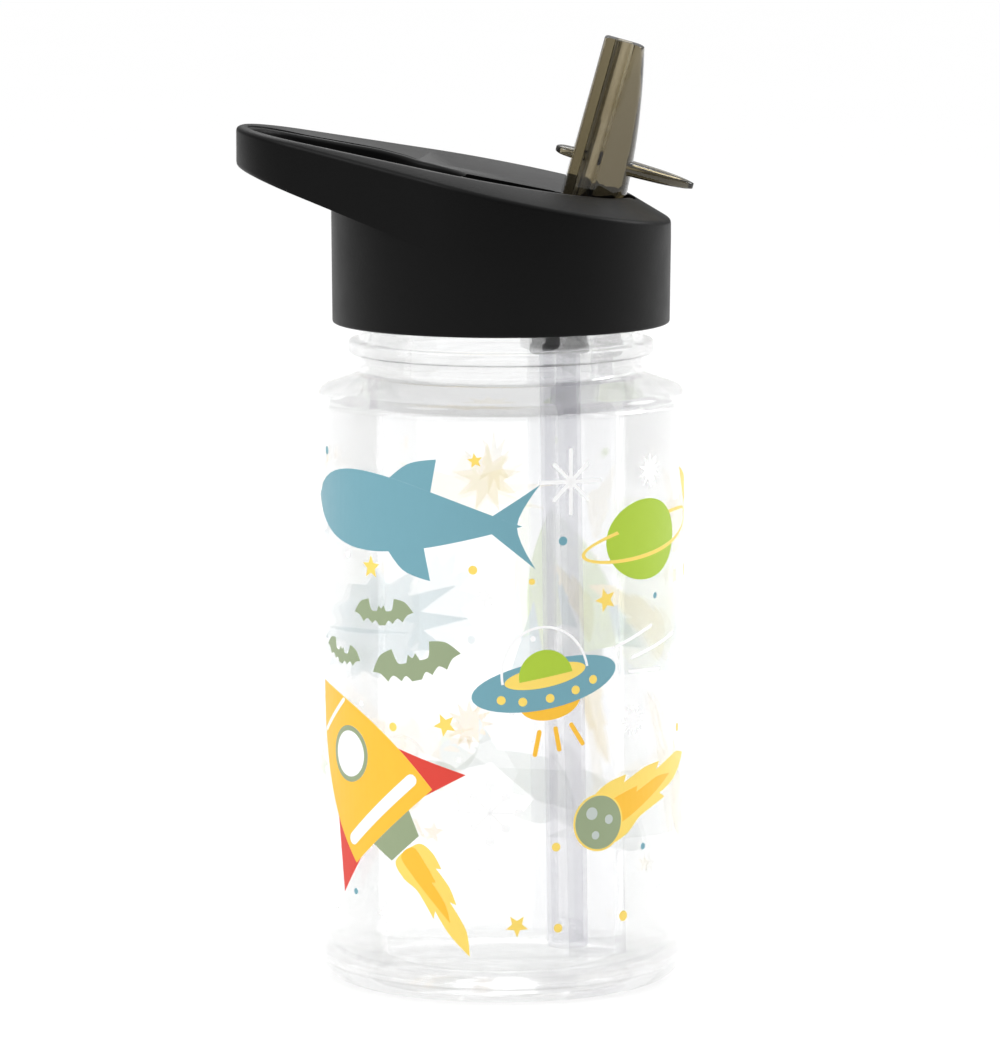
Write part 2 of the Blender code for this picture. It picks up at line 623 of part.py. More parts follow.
def make_inner_cap(axis):
    liner = make_material("black_liner", (0.015, 0.015, 0.016), 0.5)
    outline = [(0.0, PLATE_HIGH), (0.0, PLATE_LOW), (CAP_INNER, PLATE_LOW), (CAP_INNER, CAP_BOTTOM)]
    outline += [(CAP_OUTER - CAP_EDGE, CAP_BOTTOM), (CAP_OUTER, CAP_BOTTOM + CAP_EDGE_HEIGHT)]
    outline.append((CAP_OUTER, PLATE_HIGH))
    cap = add_object("inner_cap", turned(outline, BODY_STEPS), axis, liner)
    start = THREAD_START + THREAD_PITCH / 2
    thread = helix_ridge(CAP_INNER, -THREAD_HEIGHT, start, -0.5, THREAD_TURNS - 0.5)
    combine(cap, add_helper("cap_thread", thread, axis), "UNION")
    spigot = straw_line_rod(SPIGOT_RADIUS, SPIGOT_BOTTOM, PLATE_LOW + CAP_PLATE / 2)
    combine(cap, add_helper("spigot", spigot, axis), "UNION")
    duct = straw_line_rod(SPIGOT_BORE, BELOW_LID, PLATE_HIGH + CAP_PLATE)
    combine(cap, add_helper("cap_duct", duct, axis), "DIFFERENCE")
    vent = rod(VALVE_STEM_RADIUS + RUNNING_CLEARANCE, BELOW_LID, ABOVE_LID)
    bmesh.ops.translate(vent, vec=(VALVE_X, 0.0, 0.0), verts=vent.verts)
    combine(cap, add_helper("vent_hole", vent, axis), "DIFFERENCE")


def straw_line(bm):
    """Tilt a piece built about Z on to the straw's line, which leans away from the axis downwards."""
    middle = Matrix.Translation((STRAW_TOP_X, 0.0, PLATE_LOW))
    tilt = middle @ Matrix.Rotation(-STRAW_LEAN, 4, "Y") @ Matrix.Translation((0.0, 0.0, -PLATE_LOW))
    bmesh.ops.transform(bm, matrix=tilt, verts=bm.verts)
    return bm


def straw_line_rod(radius, low, high):
    return straw_line(rod(radius, low, high))


def make_straw_socket(axis):
    black = make_material("black_socket", (0.015, 0.015, 0.016), 0.4)
    grip = STRAW_RADIUS + RUNNING_CLEARANCE
    sleeve = SPIGOT_RADIUS + RUNNING_CLEARANCE
    flange_top = SOCKET_BOTTOM + FLANGE_THICKNESS
    outline = [(sleeve, SOCKET_TOP), (sleeve, SOCKET_STEP), (grip, SOCKET_STEP), (grip, SOCKET_BOTTOM)]
    outline += [(FLANGE_RADIUS, SOCKET_BOTTOM), (FLANGE_RADIUS, flange_top), (SOCKET_OUTER, flange_top)]
    outline += [(SOCKET_OUTER, SOCKET_TOP - SOCKET_EDGE), (SOCKET_OUTER - SOCKET_EDGE, SOCKET_TOP)]
    add_object("straw_socket", straw_line(turned(outline, SMALL_STEPS)), axis, black)


def make_straw(axis):
    pale = make_material("pale_straw_plastic", (0.80, 0.81, 0.80), 0.3, alpha=0.5, transmission=0.6)
    bore = STRAW_RADIUS - STRAW_WALL
    outline = [(bore, STRAW_TOP), (bore, STRAW_BOTTOM)]
    outline += [(STRAW_RADIUS, STRAW_BOTTOM), (STRAW_RADIUS, STRAW_TOP)]
    add_object("straw", straw_line(turned(outline, SMALL_STEPS)), axis, pale)


def make_neck_seal(axis):
    silicone = make_material("clear_silicone", (0.80, 0.82, 0.82), 0.4, alpha=0.7)
    bore = NECK_RADIUS - NECK_WALL
    rim = CAP_INNER - RUNNING_CLEARANCE
    outline = [(bore, SEAL_HIGH), (bore, SEAL_LOW), (rim, SEAL_LOW), (rim, SEAL_HIGH)]
    add_object("neck_seal", turned(outline, BODY_STEPS), axis, silicone)


def make_spout_seal(axis):
    """Silicone saddle, hollowed to the hub and clear of the folded mouthpiece, pierced to its bore."""
    silicone = make_material("dark_silicone", (0.05, 0.05, 0.05), 0.5)
    block = rod(SADDLE_RADIUS, SHELL_CEILING, SADDLE_TOP)
    bmesh.ops.translate(block, vec=(SADDLE_X, 0.0, 0.0), verts=block.verts)
    saddle = add_object("spout_seal", block, axis, silicone)
    hub = rod(HUB_RADIUS + RUNNING_CLEARANCE, -2 * HUB_RADIUS, 2 * HUB_RADIUS, 2 * SMALL_STEPS)
    lay_along_y(hub)
    combine(saddle, add_helper("saddle_hollow", hub, axis), "DIFFERENCE")
    folded = folded_box(
        "saddle_relief", axis, (0.0, SPOUT_LENGTH), (-SPOUT_FRONT - RUNNING_CLEARANCE, SPOUT_BACK_BASE),
        2 * SADDLE_RADIUS)
    combine(saddle, folded, "DIFFERENCE")
    low = Vector((STRAW_TOP_X, 0.0, PLATE_LOW))
    bore_mouth = spout_frame(SPOUT_LEAN) @ Vector((0.0, 0.0, -HUB_RADIUS))
    along = bore_mouth - low
    passage = rod(PASSAGE_RADIUS, -PASSAGE_OVERRUN, along.length + PASSAGE_OVERRUN)
    turn = along.to_track_quat("Z", "Y").to_matrix().to_4x4()
    bmesh.ops.transform(passage, matrix=Matrix.Translation(low) @ turn, verts=passage.verts)
    combine(saddle, add_helper("seal_passage", passage, axis), "DIFFERENCE")


def make_vent_valve(axis):
    silicone = make_material("pale_silicone", (0.75, 0.76, 0.76), 0.4, alpha=0.8)
    disc_top = PLATE_LOW - SEAT_GAP
    disc_low = disc_top - VALVE_DISC_THICKNESS
    lip = VALVE_SLOT_RADIUS * 2
    outline = [(VALVE_SLOT_RADIUS, PLATE_HIGH), (VALVE_SLOT_RADIUS, disc_low - VALVE_SKIRT)]
    outline += [(lip, disc_low - VALVE_SKIRT), (VALVE_STEM_RADIUS, disc_low), (VALVE_DISC_RADIUS, disc_low)]
    outline += [(VALVE_DISC_RADIUS, disc_top), (VALVE_STEM_RADIUS, disc_top), (VALVE_STEM_RADIUS, PLATE_HIGH)]
    valve = add_object("vent_valve", turned(outline, SMALL_STEPS), axis, silicone)
    valve.location = (VALVE_X, 0.0, 0.0)


def main():
    clear_scene()
    axis = bpy.data.objects.new("bottle_axis", None)
    axis.location = (AXIS_X, 0.0, 0.0)
    bpy.context.scene.collection.objects.link(axis)
    make_bottle_body(axis)
    make_neck_seal(axis)
    make_lid_shell(axis)
    make_inner_cap(axis)
    make_spout_seal(axis)
    make_vent_valve(axis)
    make_straw_socket(axis)
    make_straw(axis)
    make_spout(axis)


main()
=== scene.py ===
import json
import math
import time

import bmesh
import bpy
from mathutils import Matrix, Vector
from mathutils.bvhtree import BVHTree


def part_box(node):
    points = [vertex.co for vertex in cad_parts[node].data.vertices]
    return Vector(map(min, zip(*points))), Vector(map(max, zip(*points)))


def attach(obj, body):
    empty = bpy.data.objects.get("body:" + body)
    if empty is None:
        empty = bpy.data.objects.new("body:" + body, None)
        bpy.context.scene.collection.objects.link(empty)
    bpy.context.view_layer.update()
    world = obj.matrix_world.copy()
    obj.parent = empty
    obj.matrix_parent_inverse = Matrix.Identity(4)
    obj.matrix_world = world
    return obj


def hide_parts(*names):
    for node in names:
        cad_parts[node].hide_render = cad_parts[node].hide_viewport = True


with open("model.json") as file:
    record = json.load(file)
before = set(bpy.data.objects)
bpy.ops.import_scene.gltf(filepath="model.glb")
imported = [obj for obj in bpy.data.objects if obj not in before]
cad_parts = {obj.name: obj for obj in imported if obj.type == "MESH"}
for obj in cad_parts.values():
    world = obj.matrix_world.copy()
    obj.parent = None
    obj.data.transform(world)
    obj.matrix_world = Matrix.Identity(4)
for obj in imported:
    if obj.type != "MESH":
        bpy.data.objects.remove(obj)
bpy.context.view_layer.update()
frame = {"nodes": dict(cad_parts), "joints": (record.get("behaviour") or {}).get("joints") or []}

startedAt = time.time()
mm = 0.001

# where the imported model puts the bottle's own axis and the mouthpiece's hinge
bodyLow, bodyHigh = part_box("bottle_body")
axisX = (bodyLow.x + bodyHigh.x) / 2
spoutHinge = [joint for joint in frame["joints"] if joint["name"] == "spout_fold"][0]
pivotX = spoutHinge["pos_m"][0] - axisX
pivotZ = spoutHinge["pos_m"][2]


def stage(text):
    print(f"[{time.time() - startedAt:5.1f} s] {text}")


def linear(red, green, blue):
    # a paint-chart colour, 0 to 255, as the shader wants it
    def one(value):
        value /= 255
        return value / 12.92 if value <= 0.04045 else ((value + 0.055) / 1.055) ** 2.4
    return (one(red), one(green), one(blue), 1.0)


class Wire:
    # one socket of a material; sums on it add Math nodes, and node() adds any other
    def __init__(self, tree, socket=None):
        self.tree = tree
        self.socket = socket

    def node(self, kind, settings=None, inputs=None, out=0):
        made = self.tree.nodes.new(kind)
        for name, value in (settings or {}).items():
            setattr(made, name, value)
        for name, value in (inputs or {}).items():
            if isinstance(value, Wire):
                self.tree.links.new(value.socket, made.inputs[name])
            else:
                made.inputs[name].default_value = value
        return Wire(self.tree, made.outputs[out])

    def maths(self, operation, first, second):
        return self.node("ShaderNodeMath", {"operation": operation}, {0: first, 1: second})

    def mix(self, first, second):
        # this wire is the share of the second colour
        return self.node("ShaderNodeMix", {"data_type": "RGBA"}, {0: self, 6: first, 7: second}, out=2)

    def __add__(self, other):
        return self.maths("ADD", self, other)

    __radd__ = __add__

    def __rsub__(self, other):
        return self.maths("SUBTRACT", other, self)

    def __mul__(self, other):
        return self.maths("MULTIPLY", self, other)

    __rmul__ = __mul__

    def __pow__(self, other):
        return self.maths("POWER", self, other)


def newMaterial(name, **fixed):
    # a material with its shader and a wire to build on; fixed values go on the shader's own sockets
    made = bpy.data.materials.new(name)
    made.use_nodes = True
    tree = made.node_tree
    shader = tree.nodes["Principled BSDF"]
    for socketName, value in fixed.items():
        shader.inputs[socketName.replace("_", " ")].default_value = value
    return made, shader, Wire(tree)


def feed(shader, socketName, wire):
    wire.tree.links.new(wire.socket, shader.inputs[socketName])


def grain(wire, size, detail=2.0, roughness=0.5):
    # noise with lumps of that size in metres, 0 to 1
    place = wire.node("ShaderNodeTexCoord", out=3)
    return wire.node("ShaderNodeTexNoise", None, {
        "Vector": place, "Scale": 1 / size, "Detail": detail, "Roughness": roughness})


def bumped(wire, height, strength, distance):
    return wire.node("ShaderNodeBump", None, {
        "Strength": strength, "Distance": distance, "Height": height})


def finishOf(colour, colourSwing, rough, roughSwing, lump, bumpSize, bumpStrength, name, **fixed):
    # the common recipe: mottled colour, uneven gloss and a fine surface texture
    made, shader, wire = newMaterial(name, **fixed)
    patches = grain(wire, lump, 3.0, 0.6)
    darker = tuple(channel * (1 - colourSwing) for channel in colour[:3]) + (1.0,)
    feed(shader, "Base Color", patches.mix(colour, darker))
    feed(shader, "Roughness", patches * (2 * roughSwing) + (rough - roughSwing))
    feed(shader, "Normal", bumped(wire, grain(wire, bumpSize, 2.0), bumpStrength, 0.2 * mm))
    return made


plastics = {
    "clearIndex": 1.46, "clearAlpha": 0.42, "smokyIndex": 1.5, "smokyTint": (0.30, 0.24, 0.05, 1.0),
    "smokyDensity": 270.0, "strawAlpha": 0.30, "strawRib": 90.0, "blackShine": 0.13,
}


def clearPlastic():
    made, shader, wire = newMaterial("clearPlastic", IOR=plastics["clearIndex"], Alpha=plastics["clearAlpha"],
                                     Transmission_Weight=1.0)
    flow = grain(wire, 14 * mm, 2.0, 0.4)
    handled = grain(wire, 3 * mm, 4.0, 0.6)
    feed(shader, "Base Color", flow.mix(linear(245, 245, 245), linear(240, 242, 242)))
    feed(shader, "Roughness", handled ** 3 * 0.03 + 0.004)
    feed(shader, "Normal", bumped(wire, flow, 0.03, 0.3 * mm))
    return made


def smokyPlastic():
    made, shader, wire = newMaterial("smokyPlastic", IOR=plastics["smokyIndex"], Transmission_Weight=1.0)
    flow = grain(wire, 9 * mm, 2.0, 0.4)
    feed(shader, "Base Color", flow.mix(linear(236, 232, 222), linear(228, 223, 212)))
    feed(shader, "Roughness", grain(wire, 2 * mm, 4.0, 0.6) ** 3 * 0.10 + 0.015)
    feed(shader, "Normal", bumped(wire, flow, 0.05, 0.2 * mm))
    absorb = wire.node("ShaderNodeVolumeAbsorption", None, {
        "Color": plastics["smokyTint"], "Density": plastics["smokyDensity"]})
    output = made.node_tree.nodes["Material Output"]
    made.node_tree.links.new(absorb.socket, output.inputs["Volume"])
    return made


def strawPlastic():
    made, shader, wire = newMaterial("strawPlastic", Alpha=plastics["strawAlpha"])
    feed(shader, "Base Color", grain(wire, 8 * mm).mix(linear(220, 219, 230), linear(211, 210, 222)))
    feed(shader, "Roughness", grain(wire, 2 * mm, 3.0) * 0.12 + 0.36)
    lines = wire.node("ShaderNodeTexWave", {"bands_direction": "Z"}, {
        "Vector": wire.node("ShaderNodeTexCoord", out=3), "Scale": plastics["strawRib"], "Distortion": 2.0})
    feed(shader, "Normal", bumped(wire, lines, 0.03, 0.1 * mm))
    return made


def blackMoulded():
    # spark-eroded black plastic: very fine grain, slightly shinier where hands rub it
    made, shader, wire = newMaterial("blackMoulded", Specular_IOR_Level=plastics["blackShine"])
    patches = grain(wire, 6 * mm, 3.0, 0.55)
    feed(shader, "Base Color", patches.mix(linear(6, 6, 6), linear(4, 4, 4)))
    feed(shader, "Roughness", patches * 0.12 + 0.36)
    coarse = grain(wire, 0.55 * mm, 2.0, 0.6)
    fine = grain(wire, 0.18 * mm, 1.0, 0.5)
    feed(shader, "Normal", bumped(wire, coarse * 0.6 + fine * 0.4, 0.22, 0.12 * mm))
    return made


finishes = {
    "clear_body": clearPlastic(),
    "lid_black": blackMoulded(),
    "liner_black": finishOf(linear(24, 24, 25), 0.2, 0.42, 0.05, 5 * mm, 0.4 * mm, 0.15, "linerBlack"),
    "silicone_clear": finishOf(linear(226, 229, 229), 0.04, 0.45, 0.06, 4 * mm, 0.3 * mm, 0.1,
                               "siliconeClear", Transmission_Weight=0.35, IOR=1.41),
    "silicone_dark": finishOf(linear(38, 38, 38), 0.15, 0.5, 0.06, 4 * mm, 0.3 * mm, 0.1, "siliconeDark"),
    "spout_smoke": smokyPlastic(),
    "straw_pale": strawPlastic(),
}
stage("materials")


def pieceFrom(name, bm, slot=None, body=None, sharpest=35.0):
    # closed mesh to a named, smooth-shaded object on the bottle's axis, riding on its CAD body
    bmesh.ops.recalc_face_normals(bm, faces=bm.faces)
    mesh = bpy.data.meshes.new(name)
    bm.to_mesh(mesh)
    bm.free()
    mesh.shade_smooth()
    mesh.set_sharp_from_angle(angle=math.radians(sharpest))
    piece = bpy.data.objects.new(name, mesh)
    piece.location.x = axisX
    bpy.context.scene.collection.objects.link(piece)
    if slot:
        mesh.materials.append(finishes[slot])
    if body:
        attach(piece, body)
    return piece


def cutOrJoin(piece, steps, sharpest=35.0):
    # runs (helper, operation) Booleans, keeps the result as the piece's mesh and removes the helpers
    for helper, operation in steps:
        change = piece.modifiers.new(helper.name, "BOOLEAN")
        change.operation = operation
        change.object = helper
        change.solver = "EXACT"
    graph = bpy.context.evaluated_depsgraph_get()
    graph.update()
    result = bpy.data.meshes.new_from_object(piece.evaluated_get(graph), depsgraph=graph)
    piece.modifiers.clear()
    piece.data = result
    result.shade_smooth()
    result.set_sharp_from_angle(angle=math.radians(sharpest))
    for helper, operation in steps:
        bpy.data.objects.remove(helper)


def joinRings(bm, ring, following):
    if len(ring) == 1 and len(following) == 1:
        return
    count = max(len(ring), len(following))
    for i in range(count):
        j = (i + 1) % count
        if len(ring) == 1:
            bm.faces.new((ring[0], following[j], following[i]))
        elif len(following) == 1:
            bm.faces.new((ring[i], ring[j], following[0]))
        else:
            bm.faces.new((ring[i], ring[j], following[j], following[i]))


def turned(profile, steps):
    # closed (r, z) outline in mm spun about the axis
    bm = bmesh.new()
    rings = []
    for r, z in profile:
        count = 1 if r < 1e-6 else steps
        ring = []
        for i in range(count):
            angle = 2 * math.pi * i / count
            ring.append(bm.verts.new((r * mm * math.cos(angle), r * mm * math.sin(angle), z * mm)))
        rings.append(ring)
    for ring, following in zip(rings, rings[1:] + rings[:1]):
        joinRings(bm, ring, following)
    return bm


def lofted(rings):
    # closed solid through rings of points in mm
    bm = bmesh.new()
    loops = [[bm.verts.new(Vector(point) * mm) for point in ring] for ring in rings]
    for ring, following in zip(loops, loops[1:]):
        joinRings(bm, ring, following)
    bm.faces.new(loops[0])
    bm.faces.new(list(reversed(loops[-1])))
    return bm


def arc(centreR, centreZ, radius, start, end, steps):
    angles = [math.radians(start + (end - start) * i / steps) for i in range(steps + 1)]
    return [(centreR + radius * math.cos(a), centreZ + radius * math.sin(a)) for a in angles]


def rod(radius, low, high, steps=64):
    return turned([(0.0, low), (radius, low), (radius, high), (0.0, high)], steps)


def moved(bm, matrix):
    bmesh.ops.transform(bm, matrix=matrix, verts=bm.verts)
    return bm


def helixRidge(radius, thread, beginTurn, endTurn, stepsPerTurn=96):
    # the thread's ridge, standing out of the neck, with both ends fading into it
    steps = round((endTurn - beginTurn) * stepsPerTurn)
    loops = []
    for i in range(steps + 1):
        turn = beginTurn + (endTurn - beginTurn) * i / steps
        fade = min(1.0, 0.15 + min(i, steps - i) / 9)
        middle = thread["start"] + thread["pitch"] * turn
        ring = []
        for reach, half in ((-0.4, -0.8), (thread["height"] * fade, -0.45),
                            (thread["height"] * fade, 0.45), (-0.4, 0.8)):
            r = radius + reach
            angle = 2 * math.pi * turn
            ring.append((r * math.cos(angle), r * math.sin(angle), middle + half))
        loops.append(ring)
    return lofted(loops)


# sizes in mm, as the solids have them
bottle = {
    "radius": 35.0, "wall": 2.0, "corner": 5.2, "standInner": 25.6, "hollow": 1.8,
    "floor": 4.6, "floorCorner": 4.0, "shoulder": 114.3, "shoulderCorner": 2.0, "shoulderRise": 2.0,
    "neck": 27.1, "neckWall": 2.0, "neckFoot": 117.4, "neckTop": 137.0,
    "bead": 29.1, "beadLow": 120.5, "beadHigh": 123.0, "steps": 224, "sharpest": 50.0,
    "thread": {"start": 129.2, "pitch": 4.0, "height": 1.3, "turns": 1.5},
}


def bottleProfile():
    b = bottle
    inner = b["radius"] - b["wall"]
    bore = b["neck"] - b["neckWall"]
    rim = b["shoulder"] - b["shoulderCorner"]
    outline = [(0.0, b["hollow"])]
    # underside: a shallow hollow with two moulded steps inside the standing ring
    steps = ((6.0, 1.0), (11.6, 0.97), (12.0, 0.86), (17.6, 0.80), (18.0, 0.68), (23.4, 0.42), (24.6, 0.2))
    for r, share in steps:
        outline.append((r, b["hollow"] * share))
    outline += arc(b["standInner"], 0.5, 0.5, 215, 270, 4)
    outline += arc(b["radius"] - b["corner"], b["corner"], b["corner"], -90, 0, 20)
    outline += [(b["radius"], z) for z in (20.0, 40.0, 60.0, 80.0, 100.0)]
    outline += arc(b["radius"] - b["shoulderCorner"], rim, b["shoulderCorner"], 0, 78, 10)
    outline.append((b["neck"] + 1.6, b["shoulder"] + b["shoulderRise"] - 0.35))
    outline += arc(b["neck"] + 1.1, b["neckFoot"], 1.1, 255, 180, 6)
    outline += [(b["neck"], b["beadLow"] - 0.3)]
    outline += arc(b["neck"] + 0.3, b["beadLow"] - 0.3, 0.3, 180, 90, 3)
    outline += arc(b["bead"] - 0.5, b["beadLow"] + 0.5, 0.5, -90, 0, 5)
    outline += arc(b["bead"] - 0.5, b["beadHigh"] - 0.5, 0.5, 0, 90, 5)
    outline += arc(b["neck"] + 0.3, b["beadHigh"] + 0.3, 0.3, 270, 180, 3)
    outline += arc(b["neck"] - 0.4, b["neckTop"] - 0.4, 0.4, 0, 90, 4)
    outline += arc(bore + 0.3, b["neckTop"] - 0.3, 0.3, 90, 180, 3)
    outline += arc(bore + 1.6, b["neckFoot"] + 0.4, 1.6, 180, 262, 6)
    outline += arc(inner - b["shoulderCorner"], rim - b["wall"], b["shoulderCorner"], 78, 0, 8)
    outline += [(inner, z) for z in (80.0, 60.0, 40.0, 20.0)]
    outline += arc(inner - b["floorCorner"], b["floor"] + b["floorCorner"], b["floorCorner"], 0, -90, 12)
    outline += [(18.0, b["floor"] + 0.05), (9.0, b["floor"] + 0.1)]
    outline.append((0.0, b["floor"] + 0.15))
    return outline


def makeBottleBody():
    thread = bottle["thread"]
    shape = turned(bottleProfile(), bottle["steps"])
    body = pieceFrom("bottleBodyClear", shape, "clear_body", "bottle", bottle["sharpest"])
    ridge = pieceFrom("neckThread", helixRidge(bottle["neck"], thread, 0.0, thread["turns"]))
    cutOrJoin(body, [(ridge, "UNION")], bottle["sharpest"])
    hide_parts("bottle_body")


makeBottleBody()
stage("clear body")


# the lid shell, mm
lid = {
    "skirt": 32.4, "draft": 0.2, "bottom": 126.3, "wall": 1.7, "ceiling": 141.3,
    "loopRadius": 19.4, "loopX": -31.0, "underside": 137.5, "undersideSlope": 0.37,
    "ridge": 28.3, "ridgeX": -3.3, "ridgeTip": 18.2, "ridgeTipX": -31.0, "ridgeHeight": 154.9,
    "ridgeSlope": 0.1835, "dropAtLoop": 0.7, "dropAtLever": 3.1, "dish": 18.0, "dishTip": 10.5,
    "dishDepth": 2.1, "dishDepthAtLoop": 1.4, "holeTip": 12.2, "holeTipX": -35.1, "holeInner": 16.0,
    "holeInnerX": -22.0, "scoopLip": 0.8, "pocketLeft": 8.6, "pocketRight": 25.6, "pocketHalf": 5.8,
    "pocketCorner": 3.5, "pocketFloor": 142.9, "gap": 0.3, "soften": 0.7, "rightSteps": 150, "leftSteps": 84,
    "holeSteps": 72, "holeLip": 0.9, "pocketLip": 0.35, "below": 110.0, "seat": 4.7, "seatX": 12.2,
    "seatTop": 145.0,
}
loopReach = lid["loopRadius"] - lid["loopX"]


def aroundTwoCircles(rightX, rightRadius, leftX, leftRadius, rightSteps=None, leftSteps=None):
    # counter-clockwise outline round two circles and their tangents
    rightSteps = rightSteps or lid["rightSteps"]
    leftSteps = leftSteps or lid["leftSteps"]
    lean = math.acos((rightRadius - leftRadius) / (rightX - leftX))
    half = math.pi - lean
    points = []
    for i in range(rightSteps + 1):
        a = -half + 2 * half * i / rightSteps
        points.append((rightX + rightRadius * math.cos(a), rightRadius * math.sin(a)))
    for i in range(leftSteps + 1):
        a = half + 2 * lean * i / leftSteps
        points.append((leftX + leftRadius * math.cos(a), leftRadius * math.sin(a)))
    return points


def circleInStep(radius):
    # a circle whose points keep step with the outline round the loop
    lean = math.acos((lid["skirt"] - lid["loopRadius"]) / -lid["loopX"])
    half = math.pi - lean
    angles = [-half + 2 * half * i / lid["rightSteps"] for i in range(lid["rightSteps"] + 1)]
    count = lid["leftSteps"] + 1
    angles += [half + 2 * lean * (i + 0.5) / count for i in range(count)]
    return [(radius * math.cos(a), radius * math.sin(a)) for a in angles]


def undersideHeight(x):
    return lid["underside"] - lid["undersideSlope"] * x


def ridgeHeight(x):
    return lid["ridgeHeight"] - lid["ridgeSlope"] * x


def rimHeight(x):
    share = min(1.0, max(0.0, (x + loopReach) / (loopReach + lid["skirt"] * 0.6)))
    ease = share * share * (3 - 2 * share)
    return ridgeHeight(x) - lid["dropAtLoop"] - (lid["dropAtLever"] - lid["dropAtLoop"]) * ease


def dishHeight(x):
    slope = lid["ridgeSlope"] + (lid["dishDepth"] - lid["dishDepthAtLoop"]) / loopReach
    return lid["ridgeHeight"] - lid["dishDepth"] - slope * x


def softened(rings, corners):
    # swaps each corner ring for a rounded run of rings between its neighbours
    result = []
    for index, ring in enumerate(rings):
        if index not in corners:
            result.append([Vector(point) for point in ring])
            continue
        reach, steps = corners[index]
        for k in range(steps + 1):
            t = k / steps
            soft = []
            for before, here, after in zip(rings[index - 1], ring, rings[index + 1]):
                here = Vector(here)
                back = Vector(before) - here
                on = Vector(after) - here
                start = here + back * min(0.45, reach / max(back.length, 1e-9))
                end = here + on * min(0.45, reach / max(on.length, 1e-9))
                soft.append(start * (1 - t) ** 2 + here * (2 * t * (1 - t)) + end * t ** 2)
            result.append(soft)
    return result


def lidRings():
    hollow = circleInStep(lid["skirt"] - lid["wall"])
    foot = circleInStep(lid["skirt"] - lid["draft"])
    wall = circleInStep(lid["skirt"])
    outside = aroundTwoCircles(0.0, lid["skirt"], lid["loopX"], lid["loopRadius"])
    ridge = aroundTwoCircles(lid["ridgeX"], lid["ridge"], lid["ridgeTipX"], lid["ridgeTip"])
    dish = aroundTwoCircles(lid["ridgeX"], lid["dish"], lid["ridgeTipX"], lid["dishTip"])
    tangentX = -lid["skirt"] * (lid["skirt"] - lid["loopRadius"]) / -lid["loopX"]
    rings = [
        [(x, y, lid["ceiling"]) for x, y in hollow],
        [(x, y, lid["bottom"]) for x, y in hollow],
        [(x, y, lid["bottom"]) for x, y in foot],
        [(x, y, undersideHeight(min(x, tangentX))) for x, y in wall],
        [(x, y, undersideHeight(min(x, tangentX))) for x, y in outside],
        [(x, y, rimHeight(x)) for x, y in outside],
        [(x, y, ridgeHeight(x)) for x, y in ridge],
        [(x, y, dishHeight(x)) for x, y in dish],
    ]
    soft = lid["soften"]
    return softened(rings, {1: (0.3, 2), 2: (0.5, 4), 4: (0.9, 5), 5: (soft, 5), 6: (soft * 0.8, 5)})


def lippedCutter(name, outline, low, lip, surface, steps=5):
    # a cutter straight down from the lid's own surface, flared so that it leaves a rounded lip
    count = len(outline)
    rims = []
    for i, (x, y) in enumerate(outline):
        hit = surface.ray_cast(Vector((x * mm + axisX, y * mm, 0.3)), Vector((0, 0, -1)))[0]
        height = hit.z / mm
        before = Vector(outline[i - 1])
        after = Vector(outline[(i + 1) % count])
        along = (after - before).normalized()
        rims.append((Vector((x, y)), Vector((along.y, -along.x)), height))
    rings = [[(p.x, p.y, low) for p, n, h in rims]]
    for k in range(steps + 1):
        angle = math.pi / 2 * k / steps
        out = lip * (1 - math.cos(angle))
        drop = lip * (1 - math.sin(angle))
        rings.append([(p.x + n.x * out, p.y + n.y * out, h - drop + (0.02 if k == steps else 0))
                      for p, n, h in rims])
    rings.append([(p.x + n.x * (lip + 0.3), p.y + n.y * (lip + 0.3), h + 2.0) for p, n, h in rims])
    return pieceFrom(name, lofted(rings))


def roundedRectangle(left, right, half, corner, steps=10):
    points = []
    for cx, cy, start in ((right - corner, half - corner, 0), (left + corner, half - corner, 90),
                          (left + corner, corner - half, 180), (right - corner, corner - half, 270)):
        points += arc(cx, cy, corner, start, start + 90, steps)
    return points


def holeRamp():
    right = lid["holeInnerX"] + lid["holeInner"]
    low = undersideHeight(-lid["skirt"]) - lid["scoopLip"]
    rise = dishHeight(right) - low
    profile = [(-100.0, 0.0), (-100.0, low)]
    for i in range(25):
        share = i / 24
        x = -lid["skirt"] + (right + lid["skirt"]) * share
        profile.append((x, low + rise * (1 - math.cos(share * math.pi / 2))))
    profile += [(40.0, 175.0), (40.0, 0.0)]
    return pieceFrom("holeRamp", lofted([[(x, y, z) for x, z in profile] for y in (-33.0, 33.0)]))


spout = {
    "lean": math.radians(15.7), "fold": math.radians(85.0), "length": 33.8, "front": 3.9,
    "backTop": 4.0, "backBase": 8.3, "bulge": 0.7, "backFoot": 5.7, "halfTop": 4.0, "halfBase": 5.0,
    "hub": 3.8, "bore": 1.9, "trunnion": 1.8, "trunnionReach": 8.0, "leverTip": 20.0, "leverAt": 10.7,
    "leverThick": 3.1, "leverTipThick": 2.1, "finTip": 7.1, "finHalf": 3.2, "finThick": 2.1,
    "finTipThick": 1.6,
}


def spoutFrame(lean):
    return Matrix.Translation((pivotX, 0.0, pivotZ)) @ Matrix.Rotation(lean, 4, "Y")


def foldedBox(name, reach, deep, half):
    high = 3 * spout["backBase"]
    corners = [(-deep, 0.0), (high, 0.0), (high, reach), (-deep, reach)]
    box = lofted([[(t, y, s) for t, s in corners] for y in (-half, half)])
    return pieceFrom(name, moved(box, spoutFrame(spout["lean"] - spout["fold"])))


